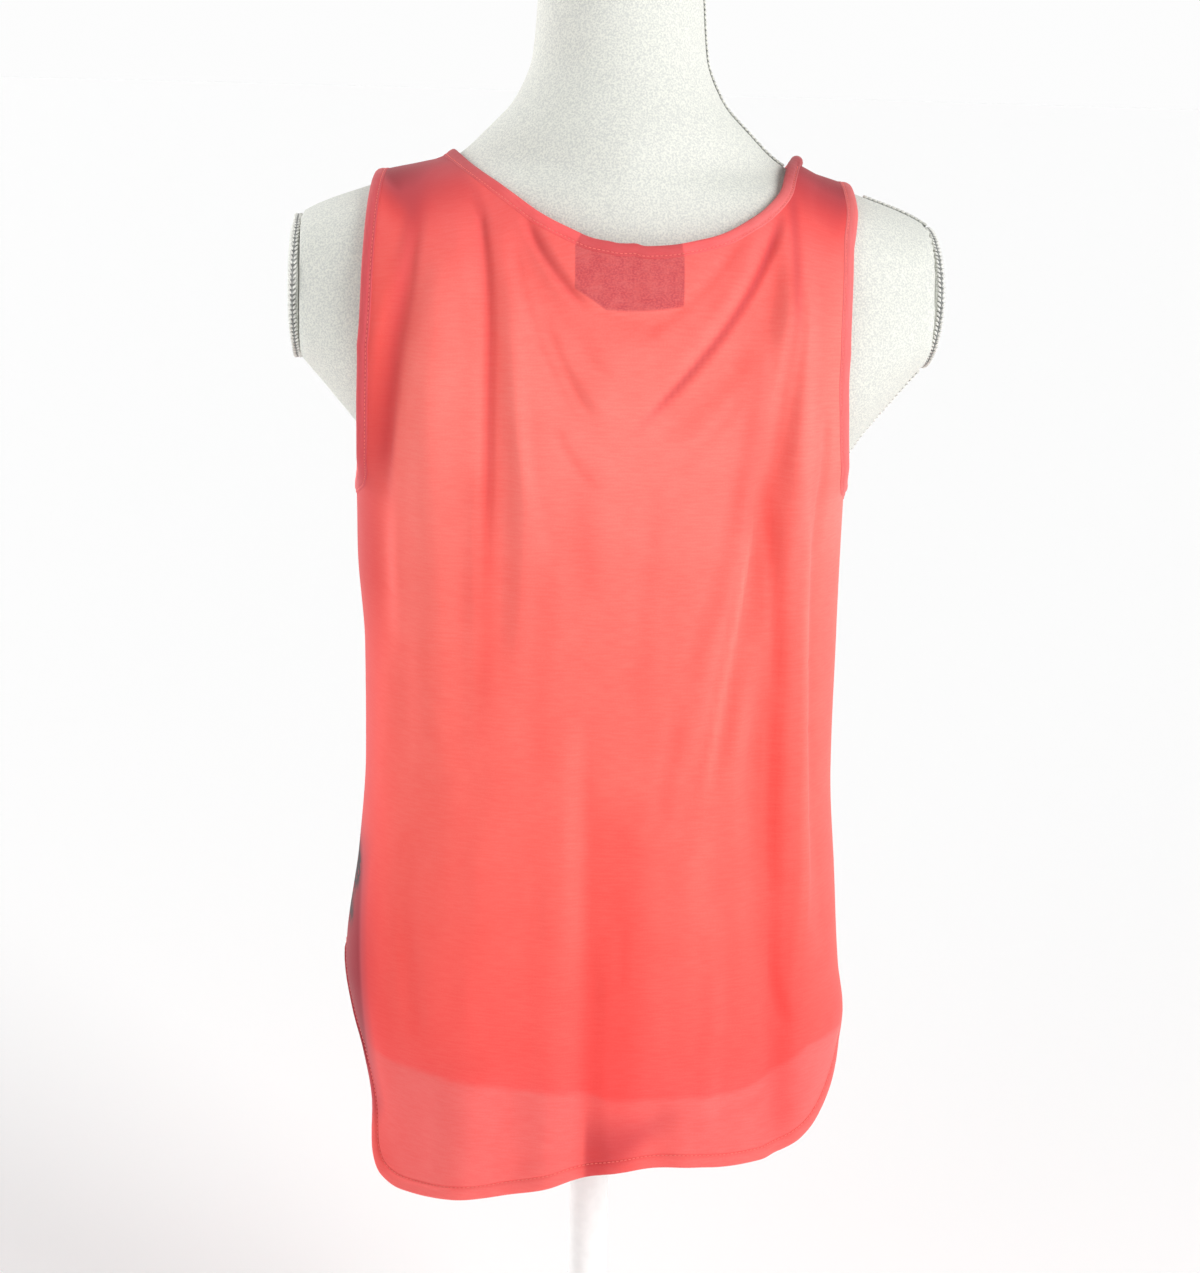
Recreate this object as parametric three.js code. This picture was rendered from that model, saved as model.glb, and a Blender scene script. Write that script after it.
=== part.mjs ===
// A sleeveless jersey top on a limbless dress form with a round stand.
// Millimetres, +Z up, the front faces -Y and the wearer's left is +X.
// The origin is the centre of the base plate's underside, where the stand meets the floor.
import * as THREE from "three";

// Driving sizes
const SHOULDER_HEIGHT = 900;   // floor to the point where neck and shoulder meet
const SEAM_GAP = 0.3;          // between two sewn pieces, and between seated pieces
const BINDING_GAP = 0.45;      // between a binding and the panel that it edges
const WALL = 1.4;              // jersey wall
const HEM_WALL = 2.2;          // turned hem, where the jersey lies double
const HEM_WIDTH = 9;
const HEM_STEP = 0.7;          // over which the wall thickens to the hem
const HEM_ROUND = { up: 1.2, in: 0.35 };  // rounding of the hem's free edge
const BINDING_WIDTH = 8;
const BINDING_PROUD = { outside: 0.6, inside: 0.3 };  // how far a binding stands over the cloth
const BINDING_ROUND = 1.3;     // rounding of its free edge
const CLEAR_OF_FORM = 1.3;     // least space between the cloth's inside and the form
const LABEL = { width: 64, height: 27, below: 10.5, sag: 3.6, thick: 1.0, behind: 0.7 };

// The cloth hangs straight below this level and arches over the shoulder above it
const ARCH_LEVEL = -110;
const ARCH_LENGTH = 165;       // of cloth from there to the top of the shoulder
const SEAM_FORWARD = 15;       // from the shoulder's ridge to its seam, along the cloth
const UNDERARM = -205;
const SECTION_POWER = 2.5;

// Mesh steps
const COLUMNS = { strap: 5, neck: 12 };
const ROWS = { yoke: 12, body: 13 };
const YOKE_CROWDING = 1.3;     // above 1, the yoke's rows lie closer together over the shoulder
const EDGE_PULL = 3;           // the higher, the fewer columns bend with the armhole
const FORM_SIDES = 36;
const FOLD_STEPS = 14;

// Sections of the worn top. Heights here and below are measured from the shoulder point
const CLOTH_SECTIONS = [
  { z: -110, left: 206, right: 192, back: 107, front: 107 },
  { z: -130, left: 198, right: 184, back: 107.5, front: 112 },
  { z: -150, left: 189, right: 176, back: 108, front: 118 },
  { z: -180, left: 176, right: 164.5, back: 107.5, front: 128 },
  { z: -196, left: 165.5, right: 154, back: 107, front: 132 },
  { z: -205, left: 161.2, right: 149.3, back: 107, front: 134 },
  { z: -250, left: 160, right: 149, back: 106, front: 141 },
  { z: -310, left: 155, right: 149, back: 105, front: 137 },
  { z: -385, left: 154, right: 150, back: 105, front: 130 },
  { z: -450, left: 158, right: 155, back: 107, front: 126 },
  { z: -521, left: 166, right: 161, back: 110, front: 123 },
  { z: -555, left: 161, right: 166, back: 112, front: 122 },
  { z: -576, left: 156, right: 163, back: 113.5, front: 122 },
  { z: -606, left: 152, right: 164, back: 115, front: 122 },
  { z: -630, left: 157, right: 164, back: 117, front: 122 },
  { z: -652, left: 165, right: 164, back: 118, front: 123 },
];

// Top of the cloth along the shoulders, and the cut edges in side (x) and level
const RIDGE = [
  { x: -190, z: -38 }, { x: -147, z: -18 }, { x: -110, z: 0 }, { x: 0, z: 37 },
  { x: 101, z: 0 }, { x: 151, z: -12 }, { x: 195, z: -30 },
];
const BACK_NECK = [
  { share: 0, level: -59 }, { share: 0.28, level: -53 }, { share: 0.54, level: -35 },
  { share: 0.77, level: -7 }, { share: 0.89, level: 14 }, { share: 0.965, level: 37 },
  { share: 0.995, level: 55 }, { share: 1, level: 70 },
];
const FRONT_NECK = [
  { share: 0, level: -118 }, { share: 0.3, level: -112 }, { share: 0.58, level: -90 },
  { share: 0.79, level: -55 }, { share: 0.92, level: -14 }, { share: 0.985, level: 20 },
  { share: 1, level: 40 },
];
const NECK_HALF = { left: 101, right: 110 };
const SHOULDER_TIP = { left: 149, right: 146 };
const ARMHOLE = [
  { level: 0, left: 155, right: 143 }, { level: -50, left: 158, right: 139 },
  { level: -110, left: 161, right: 137.5 }, { level: -150, left: 161, right: 139.5 },
  { level: -180, left: 161, right: 143 }, { level: -196, left: 161, right: 146.5 },
];

// Lowest edge by the angle round the body, from -90 at the right seam to 90 at the left
const BACK_HEM = [
  { angle: -90, z: -555 }, { angle: -74, z: -586 }, { angle: -65, z: -602 },
  { angle: -58, z: -613 }, { angle: -51, z: -621 }, { angle: -37, z: -628 },
  { angle: -22, z: -629 }, { angle: 2, z: -635 }, { angle: 25, z: -643 },
  { angle: 43, z: -649 }, { angle: 56, z: -651 }, { angle: 63, z: -646 },
  { angle: 68, z: -636 }, { angle: 73, z: -614 }, { angle: 80, z: -575 },
  { angle: 85, z: -547 }, { angle: 90, z: -521 },
];
const FRONT_HEM = [
  { angle: -90, z: -555 }, { angle: -78, z: -586 }, { angle: -60, z: -606 },
  { angle: -30, z: -617 }, { angle: 0, z: -621 }, { angle: 30, z: -620 },
  { angle: 58, z: -608 }, { angle: 76, z: -574 }, { angle: 90, z: -521 },
];

// Folds: the line of each from its start through a bend to its end, as side and height.
// A positive height stands out as a ridge and a negative one sinks as a trough
const BACK_FOLDS = [
  { x: 117, z: -42, bendX: 146, bendZ: -165, endX: 142, endZ: -330, width: 15, height: -4.5 },
  { x: 93, z: -13, bendX: 76, bendZ: -150, endX: 75, endZ: -330, width: 16, height: -3.5 },
  { x: 104, z: -30, bendX: 116, bendZ: -190, endX: 106, endZ: -420, width: 20, height: 3 },
  { x: 66, z: -32, bendX: 52, bendZ: -78, endX: 14, endZ: -124, width: 18, height: -3.5 },
  { x: 60, z: -85, bendX: 40, bendZ: -130, endX: 10, endZ: -172, width: 17, height: -2.5 },
  { x: -93, z: -30, bendX: -68, bendZ: -108, endX: -6, endZ: -162, width: 18, height: -5.5 },
  { x: -68, z: -42, bendX: -46, bendZ: -76, endX: -12, endZ: -92, width: 15, height: -2 },
  { x: -96, z: -25, bendX: -98, bendZ: -215, endX: -58, endZ: -420, width: 17, height: 5 },
  { x: -106, z: -85, bendX: -88, bendZ: -250, endX: -103, endZ: -545, width: 17, height: -6.5 },
  { x: -116, z: -120, bendX: -110, bendZ: -320, endX: -137, endZ: -540, width: 15, height: 4.5 },
  { x: -96, z: -82, bendX: -84, bendZ: -240, endX: -28, endZ: -450, width: 16, height: -3.5 },
  { x: 17, z: -290, bendX: 18, bendZ: -440, endX: 11, endZ: -650, width: 16, height: -3 },
  { x: 38, z: -330, bendX: 34, bendZ: -470, endX: 40, endZ: -660, width: 20, height: 2.5 },
  { x: -108, z: -470, bendX: -110, bendZ: -560, endX: -118, endZ: -640, width: 15, height: -4 },
  { x: 96, z: -560, bendX: 92, bendZ: -610, endX: 96, endZ: -680, width: 34, height: 5 },
  { x: -32, z: -575, bendX: -30, bendZ: -610, endX: -34, endZ: -660, width: 26, height: -4 },
];
const FRONT_FOLDS = [
  { x: 84, z: -70, bendX: 58, bendZ: -160, endX: 6, endZ: -190, width: 16, height: -4 },
  { x: -88, z: -62, bendX: -54, bendZ: -150, endX: -2, endZ: -172, width: 15, height: -4.5 },
  { x: 116, z: -60, bendX: 132, bendZ: -170, endX: 126, endZ: -300, width: 15, height: -4 },
  { x: -112, z: -55, bendX: -122, bendZ: -150, endX: -112, endZ: -270, width: 14, height: -4 },
  { x: 72, z: -235, bendX: 80, bendZ: -420, endX: 96, endZ: -660, width: 22, height: 6 },
  { x: -66, z: -240, bendX: -72, bendZ: -430, endX: -88, endZ: -660, width: 20, height: 6 },
  { x: 8, z: -260, bendX: -4, bendZ: -430, endX: 10, endZ: -660, width: 26, height: -5 },
  { x: 118, z: -300, bendX: 122, bendZ: -440, endX: 128, endZ: -620, width: 16, height: -4 },
  { x: -112, z: -290, bendX: -116, bendZ: -420, endX: -124, endZ: -640, width: 17, height: -4.5 },
];
const FOLD_ENDS = 0.22;        // share of a fold's length over which it dies away
const FOLD_SEAM_FADE = 14;     // degrees from a side seam over which folds die away
const MOST_PUSH = 40;          // that the form may push the cloth outwards

// Sections of the dress form, neck to bottom: half width, middle, depth each way, squareness
const FORM_SECTIONS = [
  { z: 100, half: 51, middle: -14, back: 50, front: 51, power: 2.0 },
  { z: 62, half: 54, middle: -9, back: 52, front: 54, power: 2.0 },
  { z: 36, half: 64, middle: -4, back: 57, front: 58, power: 2.0 },
  { z: 16, half: 82, middle: -1, back: 64, front: 58, power: 1.75 },
  { z: -3, half: 104, middle: 0, back: 71, front: 60, power: 1.55 },
  { z: -18, half: 148, middle: 0, back: 76, front: 66, power: 1.7 },
  { z: -34, half: 190, middle: 0, back: 80, front: 73, power: 1.8 },
  { z: -58, half: 222, middle: -1, back: 86, front: 81, power: 1.9 },
  { z: -86, half: 226, middle: -1, back: 92, front: 88, power: 2.0 },
  { z: -108, half: 213, middle: -2, back: 97, front: 93, power: 2.2 },
  { z: -126, half: 196, middle: -2, back: 100, front: 99, power: 2.3 },
  { z: -148, half: 177, middle: -2, back: 102, front: 105, power: 2.3 },
  { z: -176, half: 155, middle: -2, back: 102, front: 114, power: 2.3 },
  { z: -205, half: 140, middle: -3, back: 101, front: 121, power: 2.3 },
  { z: -228, half: 137, middle: -4, back: 99, front: 125, power: 2.3 },
  { z: -250, half: 137, middle: -4, back: 97, front: 127, power: 2.3 },
  { z: -280, half: 134, middle: -4, back: 93, front: 122, power: 2.3 },
  { z: -320, half: 127, middle: -4, back: 87, front: 106, power: 2.3 },
  { z: -352, half: 120, middle: -4, back: 82, front: 95, power: 2.3 },
  { z: -385, half: 118, middle: -3, back: 80, front: 90, power: 2.3 },
  { z: -418, half: 123, middle: -2, back: 83, front: 91, power: 2.3 },
  { z: -450, half: 133, middle: 0, back: 89, front: 94, power: 2.3 },
  { z: -486, half: 143, middle: 0, back: 95, front: 97, power: 2.3 },
  { z: -520, half: 149, middle: 0, back: 98, front: 98, power: 2.3 },
  { z: -583, half: 153, middle: 0, back: 98, front: 98, power: 2.3 },
];
const ARM_FLAT = 196;          // half width at which the arm ends are cut flat
const ARM_PLATE = { z: -83, halfHeight: 43, halfDepth: 42, thick: 8, middle: -2 };
const NECK_CAP = { radius: 47, thick: 7, middle: -14, edge: 2 };
const COLLAR = { radius: 28, height: 26, foot: 0.7, flare: 6 };
const POLE_RADIUS = 13;
const BASE = { radius: 145, thick: 12, edge: 3 };

const FABRIC = { color: 0xf5776b, roughness: 0.86, metalness: 0 };
const PRINTED_FABRIC = { color: 0xd8665f, roughness: 0.86, metalness: 0 };
const BINDING_FABRIC = { color: 0xee6c62, roughness: 0.86, metalness: 0 };
const LABEL_FABRIC = { color: 0xb4574f, roughness: 0.7, metalness: 0 };
const FORM_FABRIC = { color: 0xe9e9e2, roughness: 0.9, metalness: 0 };
const PLATE_FABRIC = { color: 0xe2e2da, roughness: 0.85, metalness: 0 };
const STAND_METAL = { color: 0xd9d9d6, roughness: 0.35, metalness: 0.8 };

const RIGHT_ANGLE = Math.PI / 2;
const inDegrees = (angle) => angle * 180 / Math.PI;

// A smooth curve through a table's rows that never swings past them
function curveThrough(rows, place, value) {
  const sorted = [...rows].sort((one, other) => one[place] - other[place]);
  const at = sorted.map((row) => row[place]);
  const values = sorted.map((row) => row[value]);
  const slopes = at.slice(1).map((end, i) => (values[i + 1] - values[i]) / (end - at[i]));
  const tangents = values.map((_, i) => {
    if (i === 0) return slopes[0];
    if (i === slopes.length) return slopes[i - 1];
    const [before, after] = [slopes[i - 1], slopes[i]];
    return before * after <= 0 ? 0 : 2 * before * after / (before + after);
  });
  return (where) => {
    if (where <= at[0]) return values[0];
    if (where >= at[at.length - 1]) return values[values.length - 1];
    const i = at.findIndex((end) => where < end) - 1;
    const span = at[i + 1] - at[i];
    const t = (where - at[i]) / span;
    const rise = t * t * (3 - 2 * t);
    return values[i] + (values[i + 1] - values[i]) * rise
      + span * (tangents[i] * t * (1 - t) ** 2 - tangents[i + 1] * t * t * (1 - t));
  };
}

const smoothStep = (t) => {
  const held = Math.min(Math.max(t, 0), 1);
  return held * held * (3 - 2 * held);
};

// Dress form
const form = Object.fromEntries(
  ["half", "middle", "back", "front", "power"].map((name) => [
    name, curveThrough(FORM_SECTIONS, "z", name)]),
);
const FORM_TOP = FORM_SECTIONS[0].z;
const FORM_BOTTOM = FORM_SECTIONS[FORM_SECTIONS.length - 1].z;

function formPoint(z, turn) {
  const power = 2 / form.power(z);
  const across = Math.sign(Math.cos(turn)) * Math.abs(Math.cos(turn)) ** power;
  const deep = Math.sign(Math.sin(turn)) * Math.abs(Math.sin(turn)) ** power;
  const x = Math.min(Math.max(form.half(z) * across, -ARM_FLAT), ARM_FLAT);
  const y = form.middle(z) + (deep > 0 ? form.back(z) : form.front(z)) * deep;
  return new THREE.Vector3(x, y, z);
}

// True where a point lies within the form grown by a clearance
function insideForm(point, clearance) {
  const z = point.z - clearance;
  if (z > FORM_TOP || point.z < FORM_BOTTOM) return false;
  const y = point.y - form.middle(z);
  const deep = (y > 0 ? form.back(z) : form.front(z)) + clearance;
  const power = form.power(z);
  return (Math.abs(point.x) / (form.half(z) + clearance)) ** power
    + (Math.abs(y) / deep) ** power < 1;
}

// Worn cloth: a smooth surface first, then its folds. Face is 1 at the back and -1 in front
const cloth = Object.fromEntries(
  ["left", "right", "back", "front"].map((name) => [
    name, curveThrough(CLOTH_SECTIONS, "z", name)]),
);
const ridgeAt = curveThrough(RIDGE, "x", "z");

function clothSection(face, angle, level) {
  const z = Math.min(level, ARCH_LEVEL);
  const half = angle >= 0 ? cloth.left(z) : cloth.right(z);
  const deep = face > 0 ? cloth.back(z) : cloth.front(z);
  const across = Math.abs(Math.sin(angle)) / half;
  const out = Math.abs(Math.cos(angle)) / deep;
  const reach = (across ** SECTION_POWER + out ** SECTION_POWER) ** (-1 / SECTION_POWER);
  return { x: reach * Math.sin(angle), out: reach * Math.cos(angle) };
}

function smoothCloth(face, angle, level) {
  const { x, out } = clothSection(face, angle, level);
  if (level <= ARCH_LEVEL) return new THREE.Vector3(x, face * out, level);
  const turn = RIGHT_ANGLE * (1 - (level - ARCH_LEVEL) / ARCH_LENGTH);
  const z = ARCH_LEVEL + (ridgeAt(x) - ARCH_LEVEL) * Math.cos(turn);
  return new THREE.Vector3(x, face * out * Math.sin(turn), z);
}

function clothSlopes(face, angle, level) {
  const step = { angle: 0.004, level: 0.5 };
  const round = smoothCloth(face, angle + step.angle, level)
    .sub(smoothCloth(face, angle - step.angle, level)).divideScalar(2 * step.angle);
  const up = smoothCloth(face, angle, level + step.level)
    .sub(smoothCloth(face, angle, level - step.level)).divideScalar(2 * step.level);
  const out = round.clone().cross(up).normalize().multiplyScalar(-face);
  return { round, up, out };
}

// Each fold's line as short straight steps
function foldLine(fold) {
  const start = new THREE.Vector2(fold.x, fold.z);
  const end = new THREE.Vector2(fold.endX, fold.endZ);
  const middle = new THREE.Vector2(fold.bendX, fold.bendZ);
  const bend = middle.multiplyScalar(2).sub(start.clone().add(end).multiplyScalar(0.5));
  const line = new THREE.QuadraticBezierCurve(start, bend, end);
  return { ...fold, points: line.getPoints(FOLD_STEPS) };
}
const foldLines = { back: BACK_FOLDS.map(foldLine), front: FRONT_FOLDS.map(foldLine) };

function foldHeight(fold, x, z) {
  const here = new THREE.Vector2(x, z);
  let nearest = Infinity;
  let along = 0;
  for (let i = 1; i < fold.points.length; i += 1) {
    const [start, end] = [fold.points[i - 1], fold.points[i]];
    const step = end.clone().sub(start);
    const t = Math.min(Math.max(here.clone().sub(start).dot(step) / step.lengthSq(), 0), 1);
    const away = here.distanceTo(start.clone().addScaledVector(step, t));
    if (away < nearest) {
      nearest = away;
      along = (i - 1 + t) / (fold.points.length - 1);
    }
  }
  if (nearest >= fold.width) return 0;
  const fade = smoothStep(along / FOLD_ENDS) * smoothStep((1 - along) / FOLD_ENDS);
  const hemward = fold.endZ < FORM_BOTTOM ? smoothStep(along / FOLD_ENDS) : fade;
  return fold.height * hemward * 0.5 * (1 + Math.cos(Math.PI * nearest / fold.width));
}

function clothPoint(face, angle, level) {
  const point = smoothCloth(face, angle, level);
  const { out } = clothSlopes(face, angle, level);
  const turnsOver = level > ARCH_LEVEL + ARCH_LENGTH;
  const seamFade = smoothStep((90 - Math.abs(inDegrees(angle))) / FOLD_SEAM_FADE);
  const folds = face > 0 ? foldLines.back : foldLines.front;
  const height = folds.reduce((sum, fold) => sum + foldHeight(fold, point.x, point.z), 0);
  if (!turnsOver) point.addScaledVector(out, height * seamFade);
  const inside = (push) => insideForm(
    point.clone().addScaledVector(out, push - HEM_WALL), CLEAR_OF_FORM);
  let [low, high] = [0, 0];
  if (inside(0)) {
    high = MOST_PUSH;
    while (high - low > 0.05) {
      const push = (low + high) / 2;
      if (inside(push)) low = push;
      else high = push;
    }
  }
  return { place: point.addScaledVector(out, high), out };
}

// The angle at which the smooth cloth has a given side distance, found by halving
function angleAtSide(face, x, level) {
  const side = Math.sign(x);
  let [low, high] = [0, RIGHT_ANGLE];
  for (let i = 0; i < 40; i += 1) {
    const middle = (low + high) / 2;
    if (Math.abs(clothSection(face, side * middle, level).x) < Math.abs(x)) low = middle;
    else high = middle;
  }
  return side * low;
}

// The neckline and armhole edges as places on the smooth cloth, from share 0 to 1
const seamLevel = (face) => ARCH_LEVEL + ARCH_LENGTH + face * SEAM_FORWARD;

// The neckline is mirrored past the centre line and runs straight on past the shoulder seam
function neckEdge(face, side) {
  const rows = face > 0 ? BACK_NECK : FRONT_NECK;
  const half = side > 0 ? NECK_HALF.left : NECK_HALF.right;
  const points = rows.map(({ share, level }) => new THREE.Vector2(share * half, level));
  const line = new THREE.SplineCurve(points);
  const seam = seamLevel(face);
  return (share) => {
    if (share > 1) return { angle: angleAtSide(face, side * half, seam), level: seam + share - 1 };
    const point = line.getPointAt(Math.abs(share));
    const angle = angleAtSide(face, side * point.x, point.y);
    return { angle: share < 0 ? -angle : angle, level: point.y };
  };
}

// The armhole runs from the shoulder seam to the side seam and is mirrored past it,
// so that it crosses the seam level. Angles are drawn in hundredths, near the levels' own size
function armholeEdge(face, side) {
  const drawn = 100;
  const tip = { level: seamLevel(face), ...SHOULDER_TIP };
  const points = [tip, ...ARMHOLE].map((row) => {
    const x = side > 0 ? row.left : row.right;
    const angle = side * angleAtSide(face, side * x, row.level);
    return new THREE.Vector2(angle * drawn, row.level);
  });
  const last = points[points.length - 1];
  points.push(new THREE.Vector2(RIGHT_ANGLE * drawn, UNDERARM));
  points.push(new THREE.Vector2(2 * RIGHT_ANGLE * drawn - last.x, last.y));
  const line = new THREE.SplineCurve(points);
  const steps = 40;
  const lengths = line.getLengths(steps * (points.length - 1));
  const part = lengths[steps * (points.length - 2)] / lengths[lengths.length - 1];
  return (share) => {
    if (share < 0) return { angle: side * points[0].x / drawn, level: points[0].y - share };
    const point = line.getPointAt(share * part);
    return { angle: side * point.x / drawn, level: point.y };
  };
}

// Steps from an edge into the cloth, square to the edge. At a shoulder seam the edge is
// taken to cross it squarely, so that the back and front meet
function stepIn(edge, share, face, inward, distance) {
  const here = edge(share);
  const near = 0.004;
  const atSeam = here.level === seamLevel(face);
  const before = edge(atSeam && share > 0 ? share : share - near);
  const after = edge(atSeam && share === 0 ? share : share + near);
  const { round, up, out } = clothSlopes(face, here.angle, here.level);
  const along = round.clone().multiplyScalar(after.angle - before.angle)
    .addScaledVector(up, after.level - before.level).normalize();
  const into = out.clone().cross(along).multiplyScalar(inward * distance);
  const [rr, ru, uu] = [round.dot(round), round.dot(up), up.dot(up)];
  const [ri, ui] = [round.dot(into), up.dot(into)];
  const whole = rr * uu - ru * ru;
  return {
    angle: here.angle + (ri * uu - ui * ru) / whole,
    level: here.level + (ui * rr - ri * ru) / whole,
  };
}

// Closed meshes from rows of points
function solid(name, finish, points, triangles) {
  const geometry = new THREE.BufferGeometry();
  const positions = points.flatMap((point) => [point.x, point.y, point.z]);
  geometry.setAttribute("position", new THREE.Float32BufferAttribute(positions, 3));
  geometry.setIndex(triangles);
  geometry.computeVertexNormals();
  const mesh = new THREE.Mesh(geometry, new THREE.MeshStandardMaterial(finish));
  mesh.name = name;
  return mesh;
}

// A wall: a grid of outer points, the same grid inside, and the rim that joins them
function wallSolid(name, finish, outer, inner, flip) {
  const rows = outer.length;
  const columns = outer[0].length;
  const points = [...outer.flat(), ...inner.flat()];
  const triangles = [];
  const face = (a, b, c) => triangles.push(...(flip ? [a, c, b] : [a, b, c]));
  const quad = (a, b, c, d) => {
    face(a, b, c);
    face(a, c, d);
  };
  const at = (row, column, inside) => (inside * rows + row) * columns + column;
  for (let row = 1; row < rows; row += 1) {
    for (let column = 1; column < columns; column += 1) {
      const corners = [[row - 1, column - 1], [row, column - 1], [row, column], [row - 1, column]];
      quad(...corners.map((corner) => at(...corner, 0)));
      quad(...corners.reverse().map((corner) => at(...corner, 1)));
    }
  }
  const rim = [];
  for (let column = 0; column < columns - 1; column += 1) rim.push([0, column]);
  for (let row = 0; row < rows - 1; row += 1) rim.push([row, columns - 1]);
  for (let column = columns - 1; column > 0; column -= 1) rim.push([rows - 1, column]);
  for (let row = rows - 1; row > 0; row -= 1) rim.push([row, 0]);
  rim.forEach(([row, column], i) => {
    const next = rim[(i + 1) % rim.length];
    quad(at(row, column, 1), at(row, column, 0), at(...next, 0), at(...next, 1));
  });
  return solid(name, finish, points, triangles);
}

// A closed ring swept from equal sections, each a closed loop of points
function ringSolid(name, finish, sections, flip) {
  const sides = sections[0].length;
  const triangles = [];
  const at = (section, side) => (section % sections.length) * sides + (side % sides);
  sections.forEach((_, i) => {
    for (let side = 0; side < sides; side += 1) {
      const corners = [at(i, side), at(i + 1, side), at(i + 1, side + 1), at(i, side + 1)];
      const [a, b, c, d] = flip ? corners.reverse() : corners;
      triangles.push(a, b, c, a, c, d);
    }
  });
  return solid(name, finish, sections.flat(), triangles);
}

// A lofted solid from rings, top to bottom, closed by a fan at each end
function loftSolid(name, finish, rings) {
  const sides = rings[0].length;
  const points = rings.flat();
  const triangles = [];
  for (let ring = 1; ring < rings.length; ring += 1) {
    for (let side = 0; side < sides; side += 1) {
      const next = (side + 1) % sides;
      const [a, b] = [(ring - 1) * sides + side, (ring - 1) * sides + next];
      const [c, d] = [ring * sides + side, ring * sides + next];
      triangles.push(a, c, b, b, c, d);
    }
  }
  const middleOf = (ring) => ring.reduce((sum, point) => sum.add(point), new THREE.Vector3())
    .divideScalar(sides);
  const top = points.push(middleOf(rings[0])) - 1;
  const bottom = points.push(middleOf(rings[rings.length - 1])) - 1;
  const last = (rings.length - 1) * sides;
  for (let side = 0; side < sides; side += 1) {
    const next = (side + 1) % sides;
    triangles.push(top, side, next);
    triangles.push(bottom, last + next, last + side);
  }
  return solid(name, finish, points, triangles);
}

function turnedSolid(name, finish, profile, segments) {
  const outline = profile.map(([radius, height]) => new THREE.Vector2(radius, height));
  const geometry = new THREE.LatheGeometry(outline, segments);
  geometry.rotateX(RIGHT_ANGLE);
  const mesh = new THREE.Mesh(geometry, new THREE.MeshStandardMaterial(finish));
  mesh.name = name;
  return mesh;
}

const yokeShare = (row) => (row / ROWS.yoke) ** YOKE_CROWDING;

const raise = (point) => new THREE.Vector3(point.x, point.y, point.z + SHOULDER_HEIGHT);

// The places of a panel's points in rows from the top down, each from right seam to left seam
function panelPlaces(face) {
  const [right, left] = [-1, 1].map((side) => [...yokeRows(face, side), ...bodyRows(face, side)]);
  return right.map((row, i) => [...row.slice(1).reverse(), ...left[i]]);
}

// Where half a panel ends at its side seam, and the even angles of its columns below the arm
function sideOf(face, side) {
  const inset = BINDING_WIDTH + BINDING_GAP;
  const bottom = stepIn(armholeEdge(face, side), 1, face, face * side, inset).level;
  const half = side > 0 ? cloth.left(UNDERARM) : cloth.right(UNDERARM);
  const last = RIGHT_ANGLE - SEAM_GAP / 2 / half;
  const angles = evenSteps(face, side, bottom, last, COLUMNS.neck + COLUMNS.strap);
  return { bottom, angles };
}

// The top row follows the neckline and then the shoulder seam. The last column follows the
// armhole, and the columns between run straight and bend towards it
function yokeRows(face, side) {
  const neck = neckEdge(face, side);
  const armhole = armholeEdge(face, side);
  const inset = BINDING_WIDTH + BINDING_GAP;
  const columns = COLUMNS.neck + COLUMNS.strap;
  const seam = seamLevel(face) - SEAM_GAP / 2;
  const neckCorner = stepIn(neck, 1, face, face * side, inset);
  const armCorner = { ...stepIn(armhole, 0, face, face * side, inset), level: seam };
  const top = [];
  for (let column = 0; column <= columns; column += 1) {
    const t = (column - COLUMNS.neck) / COLUMNS.strap;
    const angle = THREE.MathUtils.lerp(neckCorner.angle, armCorner.angle, t);
    const onNeck = stepIn(neck, column / COLUMNS.neck, face, face * side, inset);
    top.push(t < 0 ? onNeck : { angle, level: seam });
  }
  const { bottom, angles } = sideOf(face, side);
  const foot = angles.map((angle) => ({ angle, level: bottom }));
  const rows = [];
  for (let row = 0; row <= ROWS.yoke; row += 1) {
    const share = yokeShare(row);
    let edge = stepIn(armhole, share, face, face * side, inset);
    if (row === 0) edge = armCorner;
    if (row === ROWS.yoke) edge = foot[columns];
    const straight = (column, name) => (
      THREE.MathUtils.lerp(top[column][name], foot[column][name], share));
    const bent = (column, name) => straight(column, name)
      + (column / columns) ** EDGE_PULL * (edge[name] - straight(columns, name));
    rows.push(top.map((_, column) => (
      { angle: bent(column, "angle"), level: bent(column, "level") })));
  }
  return rows;
}

// Rows from below the arm to the hem, with three close ones for the hem's step and round edge
function bodyRows(face, side) {
  const hem = curveThrough(face > 0 ? BACK_HEM : FRONT_HEM, "angle", "z");
  const { bottom, angles } = sideOf(face, side);
  const rows = [];
  for (let row = 1; row <= ROWS.body; row += 1) {
    rows.push(angles.map((angle) => {
      const end = hem(inDegrees(angle)) + HEM_WIDTH;
      return { angle, level: THREE.MathUtils.lerp(bottom, end, row / ROWS.body) };
    }));
  }
  for (const up of [HEM_WIDTH - HEM_STEP, HEM_ROUND.up, 0]) {
    rows.push(angles.map((angle) => ({ angle, level: hem(inDegrees(angle)) + up })));
  }
  return rows;
}

// Angles that divide the cloth at one level into equal steps of its girth
function evenSteps(face, side, level, last, count) {
  const fine = 90;
  const lengths = [0];
  let before = smoothCloth(face, 0, level);
  for (let i = 1; i <= fine; i += 1) {
    const here = smoothCloth(face, side * last * i / fine, level);
    lengths.push(lengths[i - 1] + here.distanceTo(before));
    before = here;
  }
  const angles = [];
  for (let i = 0; i <= count; i += 1) {
    const goal = lengths[fine] * i / count;
    const k = Math.max(lengths.findIndex((length) => length >= goal - 1e-9), 1);
    const part = (goal - lengths[k - 1]) / (lengths[k] - lengths[k - 1]);
    angles.push(side * last * (k - 1 + part) / fine);
  }
  return angles;
}

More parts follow.
